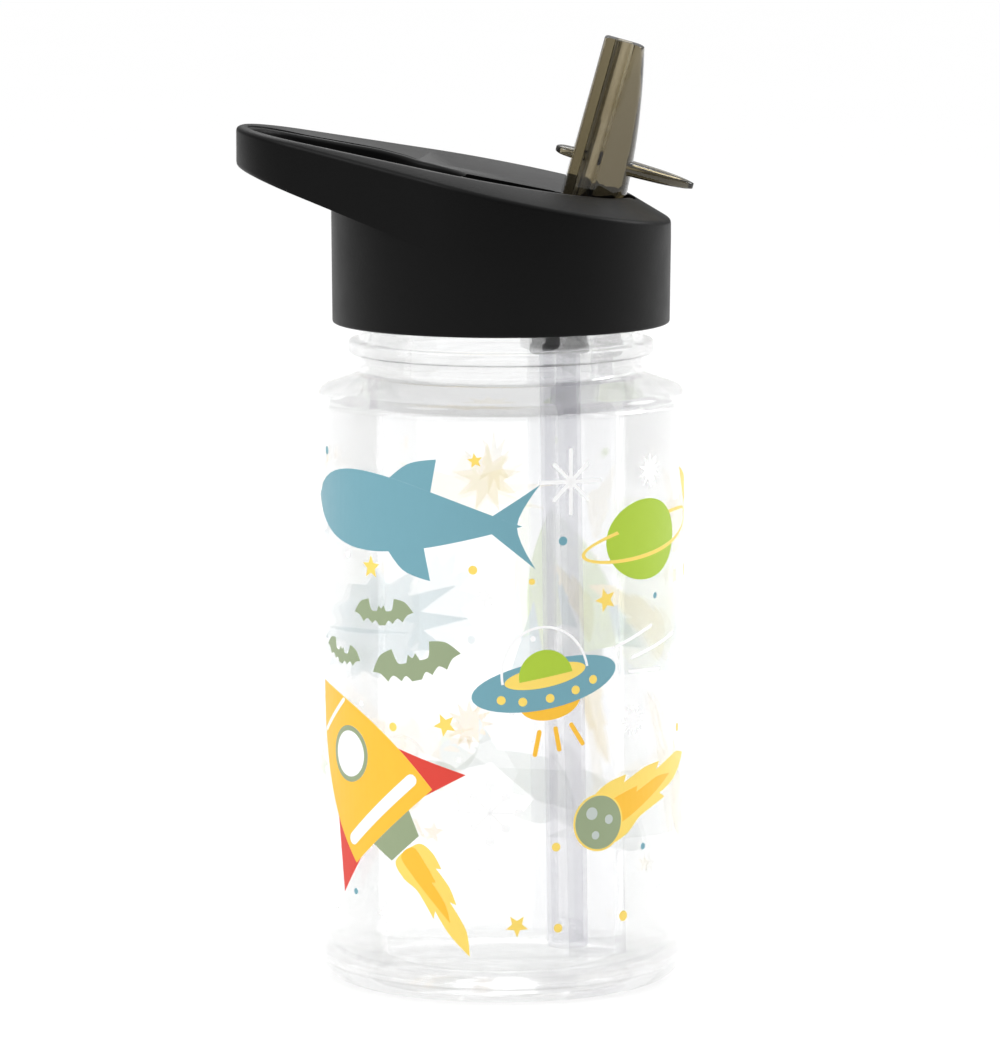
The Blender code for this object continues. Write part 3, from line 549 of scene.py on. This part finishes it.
def makeLid():
    bm = lofted(lidRings())
    bmesh.ops.remove_doubles(bm, verts=bm.verts, dist=1e-7)
    shell = pieceFrom("lidShellBlack", bm, "lid_black", "lid")
    surface = BVHTree.FromPolygons([v.co + Vector((axisX, 0, 0)) for v in shell.data.vertices],
                                   [tuple(p.vertices) for p in shell.data.polygons])
    steps = lid["holeSteps"]
    holeOutline = aroundTwoCircles(lid["holeInnerX"], lid["holeInner"], lid["holeTipX"], lid["holeTip"],
                                   steps, steps)
    hole = lippedCutter("fingerHole", holeOutline, lid["below"], lid["holeLip"], surface)
    cutOrJoin(hole, [(holeRamp(), "DIFFERENCE")])
    pocketOutline = roundedRectangle(lid["pocketLeft"], lid["pocketRight"], lid["pocketHalf"],
                                     lid["pocketCorner"])
    pocket = lippedCutter("spoutPocket", pocketOutline, lid["pocketFloor"], lid["pocketLip"], surface)
    clearance = 2 * lid["gap"]
    grooveHalf = lid["pocketHalf"] - lid["gap"]
    groove = foldedBox("spoutGroove", spout["length"], spout["front"] + clearance, grooveHalf)
    slotReach = spout["leverAt"] + spout["finThick"] / 2 + clearance
    slot = foldedBox("finSlot", slotReach, spout["finTip"] + clearance, spout["finHalf"] + clearance)
    reach = spout["trunnionReach"] + clearance
    layDown = Matrix.Translation((pivotX, 0, pivotZ)) @ Matrix.Rotation(math.pi / 2, 4, "X")
    bearing = pieceFrom("bearing", moved(rod(spout["trunnion"] + lid["gap"], -reach, reach), layDown))
    seatRod = rod(lid["seat"], lid["below"], lid["seatTop"])
    seat = pieceFrom("sealSeat", moved(seatRod, Matrix.Translation((lid["seatX"] * mm, 0, 0))))
    cutOrJoin(shell, [(helper, "DIFFERENCE") for helper in (hole, pocket, groove, slot, bearing, seat)])
    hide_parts("lid_shell")


makeLid()
stage("lid shell")


def spoutOutline():
    # side outline in the mouthpiece's own frame: across, along, which way its sides draw in, how far
    s = spout
    outline = []
    steps = 22
    for i in range(steps + 1):
        share = i / steps
        along = s["backFoot"] + (s["length"] - 0.5 - s["backFoot"]) * share
        across = s["backBase"] + (s["backTop"] - s["backBase"]) * share + 4 * s["bulge"] * share * (1 - share)
        outline.append((across, along, Vector((-1, 0)), 2.0 - 0.7 * share))
    top = s["length"] - 0.5
    for x, z, start in ((s["backTop"] - 0.5, top, 20), (-s["front"] + 0.5, top, 95)):
        for px, pz in arc(x, z, 0.5, start, start + 70, 3):
            outline.append((px, pz, Vector((-1 if x > 0 else 1, 0)), 1.3 if x > 0 else 0.4))
    outline += [(-s["front"], s["length"] * k / 8, Vector((1, 0)), 0.4) for k in (7, 6, 5, 4, 3, 2, 1)]
    for i in range(21):
        angle = math.radians(180.0 + 135.0 * i / 20)
        towards = Vector((-math.cos(angle), -math.sin(angle)))
        outline.append((s["hub"] * math.cos(angle), s["hub"] * math.sin(angle), towards, 0.3))
    return outline


def spoutHalf(along):
    return spout["halfBase"] + (spout["halfTop"] - spout["halfBase"]) * along / spout["length"]


def spoutBarrel():
    outline = spoutOutline()
    rings = []
    shares = [math.sin(math.pi / 2 * k / 9) for k in range(-9, 10)]
    for share in shares:
        drawIn = 1 - math.sqrt(max(0.0, 1 - share * share))
        ring = []
        for t, s, towards, reach in outline:
            across = towards * reach * drawIn
            ring.append((t + across.x, spoutHalf(s) * share, s + across.y))
        rings.append(ring)
    return lofted(rings)


def tongue(root, tip, half, thick, tipThick, straight):
    # the lever and the fin: a flat tongue with a rounded end and rounded edges
    rings = []
    steps = 28
    for i in range(steps + 1):
        share = math.sin(math.pi / 2 * i / steps)
        past = max(0.0, (share - straight) / (1 - straight))
        width = half * math.sqrt(max(0.0, 1 - (0.985 * past) ** 2))
        high = (thick + (tipThick - thick) * share) / 2 * math.sqrt(max(0.0, 1 - (0.93 * past) ** 4))
        t = root + (tip - root) * share
        ring = []
        for k in range(24):
            angle = 2 * math.pi * (k + 0.5) / 24
            y = math.copysign(abs(math.cos(angle)) ** 0.35, math.cos(angle))
            z = math.copysign(abs(math.sin(angle)) ** 0.6, math.sin(angle))
            ring.append((t, y * width, spout["leverAt"] + z * high))
        rings.append(ring)
    return lofted(rings)


def makeSpout():
    s = spout
    place = spoutFrame(s["lean"])
    piece = pieceFrom("spoutSmoky", moved(spoutBarrel(), place), "spout_smoke", "mouthpiece")
    side = 0.95 * spoutHalf(s["leverAt"])
    lever = tongue(2.0, s["leverTip"], side, s["leverThick"], s["leverTipThick"], 0.35)
    fin = tongue(-2.8, -s["finTip"], s["finHalf"], s["finThick"], s["finTipThick"], 0.4)
    across = Matrix.Rotation(math.pi / 2, 4, "X")
    pins = moved(rod(s["trunnion"], -s["trunnionReach"], s["trunnionReach"]), across)
    bore = rod(s["bore"], -2 * s["hub"], 2 * s["length"])
    steps = []
    for name, bm, operation in (("lever", lever, "UNION"), ("fin", fin, "UNION"), ("pins", pins, "UNION"),
                                ("bore", bore, "DIFFERENCE")):
        steps.append((pieceFrom(name, moved(bm, place)), operation))
    cutOrJoin(piece, steps, 32.0)
    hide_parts("spout")


makeSpout()
stage("mouthpiece")


straw = {
    "topX": 10.9, "hangsFrom": 139.1, "lean": math.radians(0.85), "radius": 3.9, "wall": 0.8,
    "bottom": 5.3, "top": 130.0, "socketTop": 136.5, "socketBottom": 120.3, "socketStep": 130.5,
    "socketWall": 1.1, "sleeve": 3.3, "flange": 5.75, "flangeThick": 1.7, "steps": 96,
}


def onStrawLine(bm):
    hang = Vector((straw["topX"], 0, straw["hangsFrom"])) * mm
    tilt = Matrix.Translation(hang) @ Matrix.Rotation(-straw["lean"], 4, "Y")
    return moved(bm, tilt @ Matrix.Translation((0, 0, -hang.z)))


def makeStraw():
    s = straw
    bore = s["radius"] - s["wall"]
    middle = s["radius"] - s["wall"] / 2
    outline = [(bore, z) for z in (s["top"], 90.0, 50.0, s["bottom"] + 0.4)]
    outline += arc(middle, s["bottom"] + 0.4, 0.4, 180, 360, 6)
    outline += [(s["radius"], z) for z in (50.0, 90.0, s["top"])]
    tube = pieceFrom("strawPale", onStrawLine(turned(outline, s["steps"])), "straw_pale", "lid")
    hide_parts("straw")
    grip = s["radius"] + 0.3
    outside = grip + s["socketWall"]
    flangeTop = s["socketBottom"] + s["flangeThick"]
    outline = [(s["sleeve"], s["socketTop"]), (s["sleeve"], s["socketStep"]), (grip, s["socketStep"])]
    outline += [(grip, s["socketBottom"] + 0.3), (grip + 0.3, s["socketBottom"])]
    outline += arc(s["flange"] - 0.5, s["socketBottom"] + 0.5, 0.5, -90, 0, 5)
    outline += arc(s["flange"] - 0.5, flangeTop - 0.5, 0.5, 0, 90, 5)
    outline += arc(outside + 0.3, flangeTop + 0.3, 0.3, 270, 180, 3)
    outline += [(outside, s["socketTop"] - 0.5), (outside - 0.5, s["socketTop"])]
    socket = pieceFrom("strawSocketBlack", onStrawLine(turned(outline, s["steps"])), "liner_black", "lid")
    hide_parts("straw_socket")


makeStraw()
for node, slot in (("inner_cap", "liner_black"), ("neck_seal", "silicone_clear"),
                   ("spout_seal", "silicone_dark"), ("vent_valve", "silicone_clear")):
    mesh = frame["nodes"][node].data
    mesh.materials.clear()
    mesh.materials.append(finishes[slot])
stage("straw, socket and inner pieces")


# the print: flat shapes in mm, u round the body from the side with the mirror line of the lid, v up
inks = {
    "teal": (113, 166, 180), "sage": (151, 166, 130), "lime": (174, 205, 50), "orange": (255, 196, 48),
    "yellow": (255, 222, 105), "red": (224, 60, 45), "white": (255, 255, 255), "grey": (196, 205, 200),
}
# the last value is the strength of the painted light that makes the inks' pale backs glow
printing = {"lift": 0.03, "thickness": 0.025, "layer": 0.03, "strip": 1.6, "showThrough": 0.42, "paintedBackGlow": 0.38}


def inkMaterials():
    # each ink has a front, and a pale back where it is seen through its white underprint; the back also glows
    # with its pale tint, painted light that brightens the backs seen through the clear body
    made = {}
    for name, colour in inks.items():
        front = linear(*colour)
        pale = tuple(1 + (channel - 1) * printing["showThrough"] for channel in front[:3]) + (1.0,)
        made[name] = finishOf(front, 0.05, 0.38, 0.06, 2.5 * mm, 0.12 * mm, 0.08, "ink_" + name)
        # painted light: the pale back glows with its own tint, as no lamp lights it from inside
        made[name + "Back"] = finishOf(pale, 0.03, 0.45, 0.05, 2.5 * mm, 0.12 * mm, 0.05,
                                       "underprintPaintedGlow_" + name, Emission_Color=pale,
                                       Emission_Strength=printing["paintedBackGlow"])
    return made


inkFinishes = inkMaterials()


def placed(points, at, tilt=0.0, size=1.0):
    c, s = math.cos(math.radians(tilt)) * size, math.sin(math.radians(tilt)) * size
    return [(at[0] + x * c - y * s, at[1] + x * s + y * c) for x, y in points]


def disc(at, rx, ry=None, tilt=0.0, start=0, end=360, steps=40):
    ry = ry or rx
    count = steps if end - start == 360 else steps + 1
    angles = [math.radians(start + (end - start) * i / steps) for i in range(count)]
    return placed([(rx * math.cos(a), ry * math.sin(a)) for a in angles], at, tilt)


def band(at, rx, ry, width, tilt, start, end, steps=48):
    # a stretch of an elliptical ring
    outer = disc((0, 0), rx, ry, 0, start, end, steps)
    inner = disc((0, 0), rx - width, ry - width, 0, start, end, steps)
    return placed(outer + inner[::-1], at, tilt)


def starShape(at, outer, inner, points, tilt=0.0):
    shape = []
    for i in range(2 * points):
        r = inner if i % 2 else outer
        a = math.pi * i / points + math.pi / 2
        shape.append((r * math.cos(a), r * math.sin(a)))
    return placed(shape, at, tilt)


def stroke(start, end, width):
    along = Vector(end) - Vector(start)
    tilt = math.degrees(math.atan2(along.y, along.x))
    half = width / 2
    capsule = arc(along.length, 0, half, -90, 90, 6) + arc(0, 0, half, 90, 270, 6)
    return placed(capsule, start, tilt)


def bend(before, start, end, after, steps, startCorner=False, endCorner=False):
    # a stretch of smooth curve from start up to end; a corner leaves straight
    a, b = Vector(start), Vector(end)
    chord = (b - a).length
    out = Vector((0, 0)) if startCorner else (b - Vector(before)) * 0.5
    into = Vector((0, 0)) if endCorner else (Vector(after) - a) * 0.5
    out = out * min(1.0, chord / max(out.length, 1e-6))
    into = into * min(1.0, chord / max(into.length, 1e-6))
    points = []
    for k in range(steps):
        t = k / steps
        point = a * (2 * t**3 - 3 * t**2 + 1) + out * (t**3 - 2 * t**2 + t)
        points.append(tuple(point + b * (3 * t**2 - 2 * t**3) + into * (t**3 - t**2)))
    return points


def smoothed(points, steps=6):
    # closed curve through the points; a third value of 1 keeps that point sharp
    count = len(points)
    result = []
    for i in range(count):
        p = [points[(i + k) % count] for k in (-1, 0, 1, 2)]
        result += bend(p[0][:2], p[1][:2], p[2][:2], p[3][:2], steps, len(p[1]) == 3, len(p[2]) == 3)
    return result


def inkSlab(outline, layer, frontSlot):
    # a thin closed slab on the body's outside, cut into strips so that it follows the curve
    flat = bmesh.new()
    flat.faces.new([flat.verts.new((u, v, 0)) for u, v in outline]).normal_update()
    bmesh.ops.triangulate(flat, faces=flat.faces)
    low = math.ceil(min(u for u, v in outline) / printing["strip"])
    high = math.floor(max(u for u, v in outline) / printing["strip"])
    for k in range(low, high + 1):
        everything = flat.verts[:] + flat.edges[:] + flat.faces[:]
        bmesh.ops.bisect_plane(flat, geom=everything, plane_co=(k * printing["strip"], 0, 0),
                               plane_no=(1, 0, 0), dist=1e-5)
    bmesh.ops.recalc_face_normals(flat, faces=flat.faces)
    if flat.faces[:][0].normal.z < 0:
        bmesh.ops.reverse_faces(flat, faces=flat.faces)
    base = flat.faces[:]
    for face in base:
        face.material_index = frontSlot + 1
    for part in bmesh.ops.extrude_face_region(flat, geom=base)["geom"]:
        if isinstance(part, bmesh.types.BMVert):
            part.co.z = printing["thickness"]
        elif isinstance(part, bmesh.types.BMFace):
            part.material_index = frontSlot
    bmesh.ops.recalc_face_normals(flat, faces=flat.faces)
    for vert in flat.verts:
        angle = vert.co.x / bottle["radius"]
        r = bottle["radius"] + printing["lift"] + layer * printing["layer"] + vert.co.z
        vert.co = Vector((r * math.sin(angle), -r * math.cos(angle), vert.co.y)) * mm
    return flat


def printMotif(name, shapes):
    # each shape is (outline, ink) or (outline, ink, layer); later layers lie on the ones below
    mesh = bpy.data.meshes.new(name)
    names = []
    whole = bmesh.new()
    for outline, ink, *layer in shapes:
        if ink not in names:
            names.append(ink)
        slab = inkSlab(outline, layer[0] if layer else 0, 2 * names.index(ink))
        part = bpy.data.meshes.new("part")
        slab.to_mesh(part)
        slab.free()
        whole.from_mesh(part)
        bpy.data.meshes.remove(part)
    whole.to_mesh(mesh)
    whole.free()
    for ink in names:
        mesh.materials.append(inkFinishes[ink])
        mesh.materials.append(inkFinishes[ink + "Back"])
    piece = bpy.data.objects.new(name, mesh)
    piece.location.x = axisX
    bpy.context.scene.collection.objects.link(piece)
    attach(piece, "bottle")


def dropShape(length, half, fullest, steps=24):
    # a drop lying along x, thickest where that share of its length is
    power = math.log(0.5) / math.log(fullest)
    above = []
    for i in range(1, steps):
        share = i / steps
        above.append((length * (share - 0.5), half * math.sin(math.pi * share ** power)))
    below = [(x, -y) for x, y in above[::-1]]
    return [(-length / 2, 0)] + above + [(length / 2, 0)] + below


def fish(at, size, tilt, ink):
    # a plain fish without a face: a drop, a crescent tail and two simple fins
    tail = smoothed([(18, 0, 1), (29, 8, 1), (25, 0), (29, -8, 1)])
    backFin = smoothed([(-3, 5, 1), (3, 10), (9, 11.5, 1), (8, 4, 1)])
    bellyFin = smoothed([(-2, -5, 1), (3, -10), (9, -11.5, 1), (7, -4, 1)])
    shapes = [(tail, ink), (backFin, ink), (bellyFin, ink), (dropShape(52, 7.5, 0.36), ink, 1)]
    return [(placed(outline, at, tilt, size), *rest) for outline, *rest in shapes]


def flyer(at, size, tilt):
    # a night flyer seen from the front: two scalloped wings and a small body
    half = [(0, 2.2), (1.2, 3.4, 1), (2.2, 1.2, 1), (5.0, 1.6), (6.2, 5.8, 1), (11.0, 4.6), (14.6, 0.6, 1),
            (11.8, -0.4), (9.6, -3.0, 1), (7.4, -1.6), (5.0, -3.6, 1), (3.2, -2.4), (1.6, -4.2, 1)]
    other = [(-p[0],) + tuple(p[1:]) for p in half[:0:-1]]
    return [(placed(smoothed(half + other), at, tilt, size / 29), "sage")]


def flame(at, size, tilt):
    # two tongues of fire, streaming along +x
    outer = [(0, 4.2), (4, 6.2), (9, 5.8, 1), (8, 4.6, 1), (14, 4.8), (19, 3.6, 1), (17.4, 2.6, 1), (26, 1.8),
             (32, -1.5, 1), (24, -2.6), (17, -2.2, 1), (18.5, -3.8, 1), (10, -3.4), (5, -5.0), (0, -4.2)]
    inner = [(0, 2.4), (5, 2.9), (11, 2.5, 1), (10.4, 1.5, 1), (17, 1.3), (22, -0.6, 1), (13, -1.5),
             (6, -2.2), (0, -2.2)]
    return [(placed(smoothed(outer), at, tilt, size), "yellow"),
            (placed(smoothed(inner), at, tilt, size), "orange", 1)]


def rocket(at, tilt, size, skin, fins, trim):
    # a plain toy rocket with its nose along +y
    half, tall = 12.0, 34.0
    side = []
    for i in range(21):
        share = i / 20
        side.append((half * (1 - share ** 2.4), tall * share))
    hull = side + [(-x, y) for x, y in side[-2::-1]]
    nozzle = [(-5.5, 0), (-4, -5), (4, -5), (5.5, 0)]
    shapes = [(nozzle, trim), (hull, skin, 1)]
    for hand in (-1, 1):
        fin = [(hand * (half - 3), 14), (hand * (half + 7), -2), (hand * (half - 2), 0)]
        shapes.append((smoothed([point + (1,) for point in fin]), fins))
    shapes.append((disc((0, 17), 5.4), trim, 2))
    shapes.append((disc((0, 17), 4.4), "white", 3))
    shapes.append((stroke((-half + 2.4, 4), (half - 2.4, 4), 2.4), "white", 2))
    shapes.append((stroke((-half + 7, 26), (half - 7, 26), 0.8), "white", 2))
    return [(placed(outline, at, tilt, size), *rest) for outline, *rest in shapes]


def saucer(at, tilt, size, skin):
    # a plain saucer: y runs up through the glass dome, which is empty but for a round seat
    shapes = [(disc((0, -3.4), 6.0, 3.4, 0, 180, 360), "orange"), (disc((0, 0), 14.6, 4.6), skin, 1)]
    for a in (212, 241, 270, 299, 328):
        c, s = math.cos(math.radians(a)), math.sin(math.radians(a))
        shapes.append((disc((10.8 * c, 0.4 + 3.1 * s), 0.85, steps=16), "yellow", 2))
    shapes.append((disc((0, 1.6), 8.0, 2.1), "yellow", 2))
    shapes.append((disc((0, 1.4), 5.2, 5.2, 0, 0, 180), "lime", 3))
    shapes.append((band((0, 1.6), 8.6, 9.6, 0.5, 0, 0, 180), "white", 4))
    for x in (-4.0, 0.0, 4.0):
        shapes.append((stroke((x * 0.8, -8.6), (x * 1.2, -12.6), 0.9), "orange"))
    return [(placed(outline, at, tilt, size), *rest) for outline, *rest in shapes]


def planet(at, tilt, skin, ring):
    hoop = (at[0] + 2.2, at[1] + 0.4)
    return [(disc(at, 10.3, 7.7), skin, 1), (band(hoop, 18.0, 3.6, 0.75, tilt, 122, 418), ring, 2),
            (band(hoop, 18.0, 3.6, 0.75, tilt, 58, 122), ring, 0)]


def meteor(at, tilt, skin, size=1.0):
    shapes = flame((at[0], at[1]), size, tilt)
    shapes += [(disc(at, 5.5 * size), "yellow", 2), (disc(at, 5.1 * size), skin, 3)]
    for x, y, r in ((-1.6, 1.8, 1.2), (2.2, 0.4, 0.9), (-0.8, -2.4, 0.8)):
        shapes.append((disc((at[0] + x * size, at[1] + y * size), r * size, steps=18), "grey", 4))
    return shapes


def sparkle(at, length, width, arms, ball=0.0, ink="white"):
    shapes = []
    for i in range(arms):
        a = 2 * math.pi * i / arms + math.pi / 2
        reach = length * (1.0 if i % 2 == 0 else 0.78)
        end = (at[0] + reach * math.cos(a), at[1] + reach * math.sin(a))
        shapes.append((stroke(at, end, width), ink, i % 2))
        if ball:
            shapes.append((disc(end, ball, steps=18), ink, 2))
    return shapes


def burst(at, size, ink):
    # a jagged cloud with a plain white star in it
    points = []
    for i in range(24):
        r = (1.0 if i % 2 == 0 else 0.66) * (1 + 0.12 * math.sin(2.7 * i))
        a = 2 * math.pi * i / 24
        points.append((19 * r * math.cos(a), 12 * r * math.sin(a)))
    return [(placed(points, at, 0, size), ink), (starShape(at, 6.0 * size, 2.6 * size, 5, 8), "white", 1)]


def makeNearPrint():
    printMotif("printBigFish", fish((-22.0, 92.6), 1.0, -3, "teal"))
    printMotif("printPlanet", planet((31.2, 87.3), 8, "lime", "yellow"))
    printMotif("printFlyers", flyer((-24.4, 73.6), 14.6, 4) + flyer((-36.4, 64.8), 12.5, -9)
               + flyer((-17.0, 64.4), 19.5, 14))
    printMotif("printSaucer", saucer((8.8, 61.3), 10.5, 1.0, "teal"))
    printMotif("printRocket", rocket((-22.3, 33.2), 41, 1.0, "orange", "red", "sage")
               + flame((-18.6, 28.8), 0.72, -54))
    printMotif("printMeteor", meteor((19.4, 34.4), 20, "sage"))
    stars = [((-27.1, 82.3), 2.3, "yellow"), ((-4.9, 103.6), 1.5, "yellow"), ((20.9, 76.6), 2.4, "yellow"),
             ((-10.7, 53.5), 2.3, "yellow"), ((3.0, 15.5), 2.2, "yellow"), ((66.0, 76.0), 2.4, "yellow"),
             ((-66.0, 100.0), 2.2, "orange"), ((-72.0, 36.0), 2.6, "teal"), ((76.0, 18.0), 2.2, "yellow"),
             ((-96.0, 22.0), 2.4, "orange"), ((-92.0, 84.0), 2.0, "teal")]
    printMotif("printStars", [(starShape(at, r, r * 0.45, 5, 9 * i), ink)
                              for i, (at, r, ink) in enumerate(stars)])
    dots = [((-43.0, 102.9), 0.8, "teal"), ((11.8, 88.3), 0.85, "teal"), ((34.3, 76.2), 0.6, "teal"),
            ((-31.6, 19.8), 0.6, "teal"), ((30.6, 28.6), 0.65, "teal"), ((-5.3, 83.0), 0.85, "yellow"),
            ((-21.7, 52.4), 0.85, "yellow"), ((44.8, 49.5), 0.85, "yellow"), ((10.5, 30.3), 0.85, "yellow"),
            ((10.9, 14.8), 0.85, "yellow"), ((25.2, 15.9), 1.0, "yellow"), ((5.8, 80.8), 0.6, "yellow"),
            ((-56.0, 61.0), 0.8, "teal"), ((52.0, 79.0), 1.2, "orange"), ((-104.0, 60.0), 0.8, "teal"),
            ((88.0, 98.0), 0.8, "lime"), ((-60.0, 18.0), 0.9, "yellow"), ((60.0, 50.0), 0.8, "teal")]
    printMotif("printDots", [(disc(at, r, steps=20), ink) for at, r, ink in dots])
    whites = sparkle((13.4, 99.4), 6.0, 0.75, 8) + sparkle((-2.1, 37.0), 5.4, 0.42, 8, ball=0.85)
    for at, outer, inner, points in (((32.5, 100.2), 3.4, 1.7, 10), ((-3.0, 77.8), 2.2, 1.0, 8),
                                     ((27.7, 53.1), 3.2, 1.5, 11), ((-23.7, 16.8), 1.7, 0.8, 7)):
        whites.append((starShape(at, outer, inner, points), "white"))
    for start, end in (((23.3, 67.5), (33.0, 70.6)), ((27.5, 65.1), (41.7, 68.1)),
                       ((26.7, 62.5), (35.8, 62.1))):
        whites.append((stroke(start, end, 0.7), "white"))
    for at in ((-34, 84), (-30, 56), (-4, 26), (2, 56), (-38, 16), (40, 64), (36, 20), (6, 70), (-8, 47)):
        whites.append((disc(at, 0.55, steps=14), "white"))
    printMotif("printWhites", whites)


def makeFarPrint():
    # the side away from the camera, seen through the clear body on the pale backs of the inks, which glow
    # with painted light
    printMotif("printBackBurst", burst((-82.7, 64.2), 1.0, "teal"))
    printMotif("printBackRocket", rocket((93.0, 58.0), -14, 0.86, "lime", "teal", "sage")
               + flame((91.8, 53.0), 0.55, -104))
    printMotif("printBackFish", fish((96.0, 30.0), 0.82, 24, "grey"))
    printMotif("printBackMeteor", meteor((62.0, 30.0), 62, "orange", 0.8))
    printMotif("printBackComet", flame((70.0, 84.0), 0.9, 150) + flame((68.0, 62.0), 0.8, 24))
    printMotif("printBackStars", [(starShape((-107.2, 92.1), 7.0, 3.2, 9), "yellow"),
                                  (starShape((-103.6, 43.2), 5.0, 2.6, 12), "orange"),
                                  (starShape((-66.0, 84.0), 3.4, 1.5, 5), "teal"),
                                  (starShape((-62.0, 40.0), 4.2, 1.9, 7), "lime")])
    printMotif("printBackSaucer", saucer((-88.0, 32.0), -8, 0.9, "sage"))


makeNearPrint()
makeFarPrint()
stage("print")


studio = {
    "distance": 1.417, "height": 0.268, "aim": 0.087, "lens": 255.4, "aside": -0.0002,
    "front": 0.05, "back": 0.30, "top": 1.5, "through": 0.87, "floorGlow": 0.54,
}


# name, place in metres, disk's diameter in metres, power in watts
lights = [
    ("keyLeft", (-0.9, -0.7, 0.9), 0.6, 6.0),
    ("rimRight", (1.0, 0.3, 0.6), 0.5, 4.0),
    ("topBack", (0.0, 0.7, 1.0), 0.8, 6.0),
]


def makeCamera():
    camera = bpy.data.objects.new("camera", bpy.data.cameras.new("camera"))
    bpy.context.scene.collection.objects.link(camera)
    camera.data.lens = studio["lens"]
    camera.data.sensor_width = 36.0
    camera.data.clip_end = 20.0
    camera.location = (axisX + studio["aside"], -studio["distance"], studio["height"])
    aim = Vector((axisX + studio["aside"], 0, studio["aim"]))
    camera.rotation_euler = (aim - camera.location).to_track_quat("-Z", "Y").to_euler()
    bpy.context.scene.camera = camera
    bpy.context.scene.view_settings.view_transform = "Standard"


def makeFloor():
    floor = bpy.data.objects.new("floor", bpy.data.meshes.new("floor"))
    bm = bmesh.new()
    bmesh.ops.create_grid(bm, x_segments=1, y_segments=1, size=6.0)
    bm.to_mesh(floor.data)
    bm.free()
    bpy.context.scene.collection.objects.link(floor)
    pale = finishOf(linear(165, 165, 165), 0.01, 0.7, 0.05, 0.2, 0.02, 0.02, "floorPale",
                    Emission_Color=(1, 1, 1, 1), Emission_Strength=studio["floorGlow"])
    floor.data.materials.append(pale)


def makeSky():
    # bright overhead and behind the bottle, dim behind the camera, and plain white where seen directly
    world = bpy.data.worlds.new("studio")
    world.use_nodes = True
    bpy.context.scene.world = world
    background = world.node_tree.nodes["Background"]
    wire = Wire(world.node_tree)
    direction = wire.node("ShaderNodeTexCoord", out=0)
    parts = [wire.node("ShaderNodeSeparateXYZ", None, {0: direction}, out=k) for k in range(3)]
    facing = parts[1] * 0.5 + 0.5
    level = wire.node("ShaderNodeMapRange", None, {
        0: facing, 1: 0.0, 2: 0.75, 3: studio["front"], 4: studio["back"]})
    upward = wire.node("ShaderNodeMapRange", None, {0: parts[2], 1: 0.25, 2: 0.8, 3: 0.0, 4: 1.0})
    shade = level + upward * (studio["top"] - level)
    seen = wire.node("ShaderNodeLightPath", out=0)
    through = wire.maths("MINIMUM", wire.node("ShaderNodeLightPath", out=12), 1.0)
    plain = wire.maths("MAXIMUM", seen, through * studio["through"])
    brightness = shade + plain * (1.0 - shade)
    wire.tree.links.new(brightness.socket, background.inputs["Strength"])
    background.inputs["Color"].default_value = (1, 1, 1, 1)


def makeLights():
    for name, place, size, power in lights:
        light = bpy.data.objects.new(name, bpy.data.lights.new(name, "AREA"))
        light.data.shape = "DISK"
        light.data.size = size
        light.data.energy = power
        light.location = place
        light.rotation_euler = (Vector((axisX, 0, 0.1)) - light.location).to_track_quat("-Z", "Y").to_euler()
        bpy.context.scene.collection.objects.link(light)


makeCamera()
makeFloor()
makeSky()
makeLights()
stage("studio")


def corners(box):
    return [list(map(float, corner)) for corner in box]
